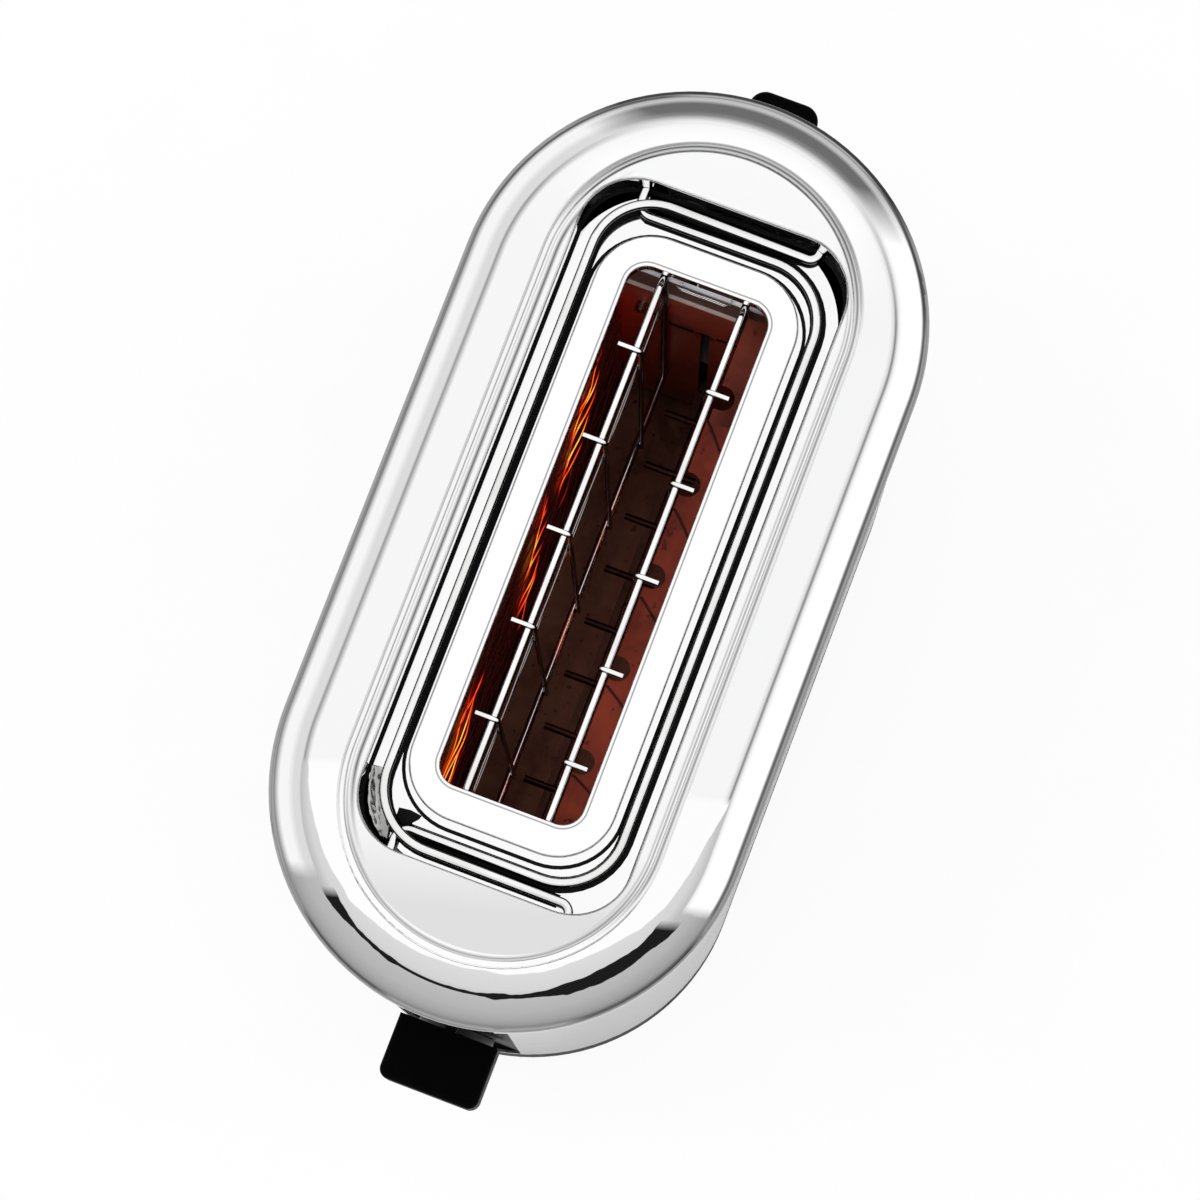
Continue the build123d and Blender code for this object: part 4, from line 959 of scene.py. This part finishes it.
def make_bracket():
    """Crinkled sheet bracket that holds the wire's pivot in the near left corner."""
    mesh = bmesh.new()
    chance = random.Random(3)
    rows = []
    for first, second in zip(bracket_rows, bracket_rows[1:]):
        for step in range(bracket_splits):
            share = step / bracket_splits
            rows.append([start + (end - start) * share for start, end in zip(first, second)])
    rows.append(bracket_rows[-1])
    grid = []
    for left, right, y in rows:
        line = []
        for column in range(bracket_columns + 1):
            x = left + (right - left) * column / bracket_columns
            fold = 0.9 * MM * abs(math.sin(620.0 * x + 260.0 * y + 1.3))
            fold += 0.35 * MM * math.sin(1500.0 * y - 700.0 * x)
            z = bracket_level + bracket_lift + fold + chance.uniform(-bracket_dent, bracket_dent)
            line.append(mesh.verts.new((x, y, z)))
        grid.append(line)
    for first, second in zip(grid, grid[1:]):
        for column in range(bracket_columns):
            mesh.faces.new((first[column], second[column], second[column + 1], first[column + 1]))
    thicken(new_piece("pivot_bracket", mesh, bracket_material, "root"), bracket_sheet)


def make_pointed_shadow():
    """Flat black patch that lies on the tray between the bracket and the frame, as a painted pointed shadow.
    """
    mesh = bmesh.new()
    low = [mesh.verts.new((x, y, well_floor)) for x, y in pointed_shadow_corners]
    high = [mesh.verts.new((x, y, well_floor + shadow_height)) for x, y in pointed_shadow_corners]
    mesh.faces.new(low)
    mesh.faces.new(high[::-1])
    for index in range(len(low)):
        after = (index + 1) % len(low)
        mesh.faces.new((low[index], high[index], high[after], low[after]))
    new_piece("pivot_shadow", mesh, shade_material, "root", smooth=False)


def make_rear_clip():
    """Bright wire clip bent round the plate on the upper rib of the rear wall."""
    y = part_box("chamber_rear")[1].y - clip_inset
    mesh = bmesh.new()
    for level, left, right in clip_rows:
        def place(share):
            return left + (right - left) * share, y, level + 0.15 * MM * math.sin(clip_steps * share)

        sweep_curve(mesh, place, clip_steps, clip_radius)
    new_piece("rear_clip", mesh, guard_material, "root")


def make_rear_crease():
    """Dark wavy crease pressed across the rear wall, either side of the keyhole."""
    mesh = bmesh.new()
    for left, right, level in wall_crease_rows:
        def place(share):
            outer = share if left > 0 else 1.0 - share
            height = level + wall_crease_rise * outer * outer + wall_crease_wave * math.sin(9.0 * share)
            return left + (right - left) * share, wall_face, height

        sweep_curve(mesh, place, wall_crease_steps, wall_crease_radius)
    new_piece("rear_crease", mesh, soot_material, "root")


def make_camera():
    """Camera of the photograph, turned about its line of sight."""
    data = bpy.data.cameras.new("camera")
    data.lens = camera_lens
    data.sensor_width = sensor_width
    data.clip_end = 50.0
    camera = placed("camera", data)
    away = (camera_place - camera_target).normalized()
    rolled_up = Vector((math.sin(camera_roll), math.cos(camera_roll), 0.0))
    right = (-away).cross(rolled_up).normalized()
    up = away.cross(right)
    camera.matrix_world = Matrix((
        (right.x, up.x, away.x, camera_place.x),
        (right.y, up.y, away.y, camera_place.y),
        (right.z, up.z, away.z, camera_place.z),
        (0.0, 0.0, 0.0, 1.0),
    ))
    bpy.context.scene.camera = camera


def make_floor():
    """Plain pale floor that keeps a soft shadow."""
    mesh = bmesh.new()
    corners = ((-1, -1), (1, -1), (1, 1), (-1, 1))
    mesh.faces.new([mesh.verts.new((x * floor_half, y * floor_half, -floor_drop)) for x, y in corners])
    data = bpy.data.meshes.new("floor")
    mesh.to_mesh(data)
    mesh.free()
    floor = placed("floor", data)
    shader = Shader("floor", grey(0.82), 0.0, 0.9)
    grain = shader.noise(40.0, 3.0)
    shader.put(shader.ramp(grain, ((0.3, grey(0.80)), (0.7, grey(0.84)))), "Base Color")
    white = shader.add("ShaderNodeEmission", {"Color": (1.0, 1.0, 1.0, 1.0), "Strength": 1.0})
    path = shader.add("ShaderNodeLightPath")
    mixer = shader.add("ShaderNodeMixShader")
    shader.join(shader.times(path.outputs["Is Camera Ray"], floor_lift), mixer.inputs[0])
    shader.join(shader.surface.outputs[0], mixer.inputs[1])
    shader.join(white.outputs[0], mixer.inputs[2])
    shader.join(mixer.outputs[0], shader.output.inputs[0])
    data.materials.append(shader.material)


def make_world():
    """Studio round the toaster, as polished steel shows it: softboxes and dark gaps on each of four sides.
    The eye sees white, and what isn't polished gets an even light."""
    world = bpy.data.worlds.new("studio")
    world.use_nodes = True
    bpy.context.scene.world = world
    studio = Nodes(world.node_tree)
    x, y, z = studio.axes(studio.add("ShaderNodeTexCoord").outputs["Generated"])
    angle = studio.math("DIVIDE", studio.math("ARCCOSINE", z), math.pi)
    turn = studio.plus(studio.math("DIVIDE", studio.math("ARCTAN2", y, x), 2.0 * math.pi), 0.5)

    def by_angle(stops):
        """Brightness by angle from straight up."""
        return studio.ramp(angle, [(degrees / 180.0, grey(level)) for degrees, level in stops])

    def background(strength):
        node = studio.add("ShaderNodeBackground", {"Color": (1.0, 1.0, 1.0, 1.0)})
        if isinstance(strength, float):
            node.inputs["Strength"].default_value = strength
        else:
            studio.join(strength, node.inputs["Strength"])
        return node.outputs[0]

    def mixed(*sources):
        node = studio.add("ShaderNodeMixShader")
        for socket, source in zip(node.inputs, sources):
            studio.join(source, socket)
        return node.outputs[0]

    sides = studio.weighted(studio.math("LESS_THAN", x, 0.0), by_angle(studio_left), by_angle(studio_right))
    ends = studio.weighted(studio.math("LESS_THAN", y, 0.0), by_angle(studio_front), by_angle(studio_rear))
    square_x, square_y = (studio.times(value, value) for value in (x, y))
    both = studio.plus(studio.plus(square_x, square_y), 0.00001)
    level = studio.weighted(studio.math("DIVIDE", square_x, both), sides, ends)
    low = studio.times(studio.minus(angle, horizon_start / 180.0),
                      180.0 / (horizon_end - horizon_start))
    low = studio.math("MINIMUM", studio.math("MAXIMUM", low, 0.0), 1.0)
    boxes = studio.ramp(turn, [(place, grey(level)) for place, level in studio_round])
    level = studio.weighted(low, boxes, level)

    path = studio.add("ShaderNodeLightPath")
    seen = mixed(path.outputs["Is Glossy Ray"], background(even_light), background(level))
    output = studio.add("ShaderNodeOutputWorld")
    studio.join(mixed(path.outputs["Is Camera Ray"], seen, background(1.0)), output.inputs[0])


def make_lamp(name, place, size, power):
    """Softbox that lights what isn't polished, and is itself unseen."""
    data = bpy.data.lights.new(name, "AREA")
    data.shape = "RECTANGLE"
    data.size, data.size_y = size
    data.energy = power
    lamp = placed(name, data)
    lamp.location = place
    lamp.rotation_euler = (lamp_target - lamp.location).to_track_quat("-Z", "Y").to_euler()
    lamp.visible_camera = False
    lamp.visible_glossy = False


cover_material = polished_cover("polished_cover")
frame_material = polished_frame("polished_frame")
well_material = polished_well("polished_well")
shell_material = polished_sleeve("polished_sleeve")
rack_wire_material = bright_wire("rack_wire", 0.92, 0.05, 0.68)
guard_material = bright_wire("guard_wire", 1.0, 0.04, 0.55)
rod_material = bright_wire("steel_rod", 0.70)
stay_material = bright_wire("stay_wire", 0.45, 0.15)
dark_rack_material = heat_tinted("rack_wire_browned", (0.035, 0.014, 0.010), (0.14, 0.060, 0.045), 0.9, 0.35)
ribbon_material = glowing_ribbon("heating_ribbon")
liner_material = heat_tinted("liner_sheet", (0.085, 0.010, 0.005), (0.34, 0.050, 0.024), 0.0, 0.50)
rear_liner_material = heat_tinted("rear_liner_sheet", (0.09, 0.014, 0.008), (0.26, 0.050, 0.030), 0.0, 0.50)
crease_shadow_material = heat_tinted("liner_crease", (0.012, 0.003, 0.002), (0.05, 0.010, 0.007), 0.0, 0.30)
soot_material = heat_tinted("sooted_sheet", (0.002, 0.001, 0.001), (0.010, 0.004, 0.003), 0.0, 0.5)
chamber_material = heat_tinted("chamber_sheet", (0.18, 0.034, 0.020), (0.46, 0.105, 0.064), 0.0, 0.45)
bracket_material = heat_tinted("bracket_sheet", (0.22, 0.22, 0.22), (0.80, 0.79, 0.78), 1.0, 0.22)
tray_material = heat_tinted("crumb_tray_sheet", (0.15, 0.055, 0.035), (0.42, 0.19, 0.13), 0.6, 0.38)
# Near black, for the painted shade of the seams, under the wires and beside the bracket.
shade_material = rubber("shade_rubber", 0.002, 0.006)
sheet_material = brushed("plated_sheet", 0.58)
screw_material = brushed("plated_screw", 0.50, 0.25)
knob_material = moulded("moulded_knob", (0.0005, 0.0005, 0.0006), 0.38, level=0.02)
control_material = moulded("moulded_control", (0.012, 0.012, 0.013), 0.30, level=0.45)
panel_material = moulded("moulded_panel", (0.008, 0.008, 0.009), 0.50, level=0.25)
base_material = moulded("moulded_base", (0.0045, 0.0045, 0.005), 0.50, level=0.12)
pot_material = moulded("moulded_pot", (0.045, 0.045, 0.055), 0.40)

dress(cover_material, "top_cover")
dress(frame_material, "slot_frame")
dress(well_material, "well_tray")
dress(shell_material, "outer_shell")
dress(rack_wire_material, "bun_wire_left", "bun_wire_right")
dress(guard_material, "guard_left", "guard_right")
dress(rod_material, "guide_rods", "bun_guide_rods", "return_spring")
dress(dark_rack_material, "bread_rack")
dress(chamber_material, "chamber_front", "reflector_left", "reflector_right")
dress(tray_material, "crumb_tray")
dress(rear_wall_sheet("rear_wall_sheet"), "chamber_rear")
dress(sheet_material, "mechanism_frame", "rear_frame", "carriage_slider", "bun_slider",
      "latch_plate", "pivot_bushes", "magnet_core", "dial_shaft")
dress(screw_material, "base_screws", "frame_screws")
dress(mica("mica_board"), "heater_card_left", "heater_card_right")
dress(knob_material, "lever_knob", "bun_lever_knob")
dress(control_material, "browning_knob", "stop_button", "defrost_button", "reheat_button")
dress(panel_material, "front_panel", "bun_slot_trim", "crumb_tray_grip", "cord_gland", "terminal_block")
dress(base_material, "base_pan", "lever_arm", "bun_lever_arm")
dress(pot_material, "browning_pot")
dress(rubber("foot_rubber"), "feet")
dress(copper_winding("coil_winding"), "magnet_coil")
dress(circuit_board("circuit_board"), "button_board", "control_board")

make_ribbon(1, "ribbon_right", "heater_wire_right")
make_ribbon(-1, "ribbon_left", "heater_wire_left")
right_notches = [hook_notch(index) for index in reversed(range(1, hook_count))]
rear_notches = (hook_notch(0), (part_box("guard_right")[1].y - upright_radius, upright_notch))
rear_ends = (rear_liner_front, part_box("chamber_rear")[1].y - rear_liner_gap)
make_liner("slot_liner_right", liner_level, liner_ends, right_notches, liner_material)
make_liner("slot_liner_rear", rear_liner_level, rear_ends, rear_notches, rear_liner_material)
make_spring()
make_liner_creases()
make_stays()
make_seam_shade("frame_seam_shade", frame_outline, frame_seam_shade_outline)
make_seam_shade("well_seam_shade", well_seam_shade_outline, well_outline)
make_wire_shadow("right_wire_shadow", *right_shadow)
make_wire_shadow("left_wire_shadow", *left_shadow)
make_bracket()
make_pointed_shadow()
make_rear_clip()
make_rear_crease()

make_camera()
make_floor()
make_world()
make_lamp("softbox_left", (-1.1, -0.3, 1.3), (0.9, 1.4), 9.0)
make_lamp("softbox_right", (1.2, 0.4, 1.2), (0.7, 1.2), 6.0)
make_lamp("softbox_front", (0.1, -1.3, 0.9), (1.0, 0.6), 5.0)

bpy.context.scene.view_settings.view_transform = "Standard"
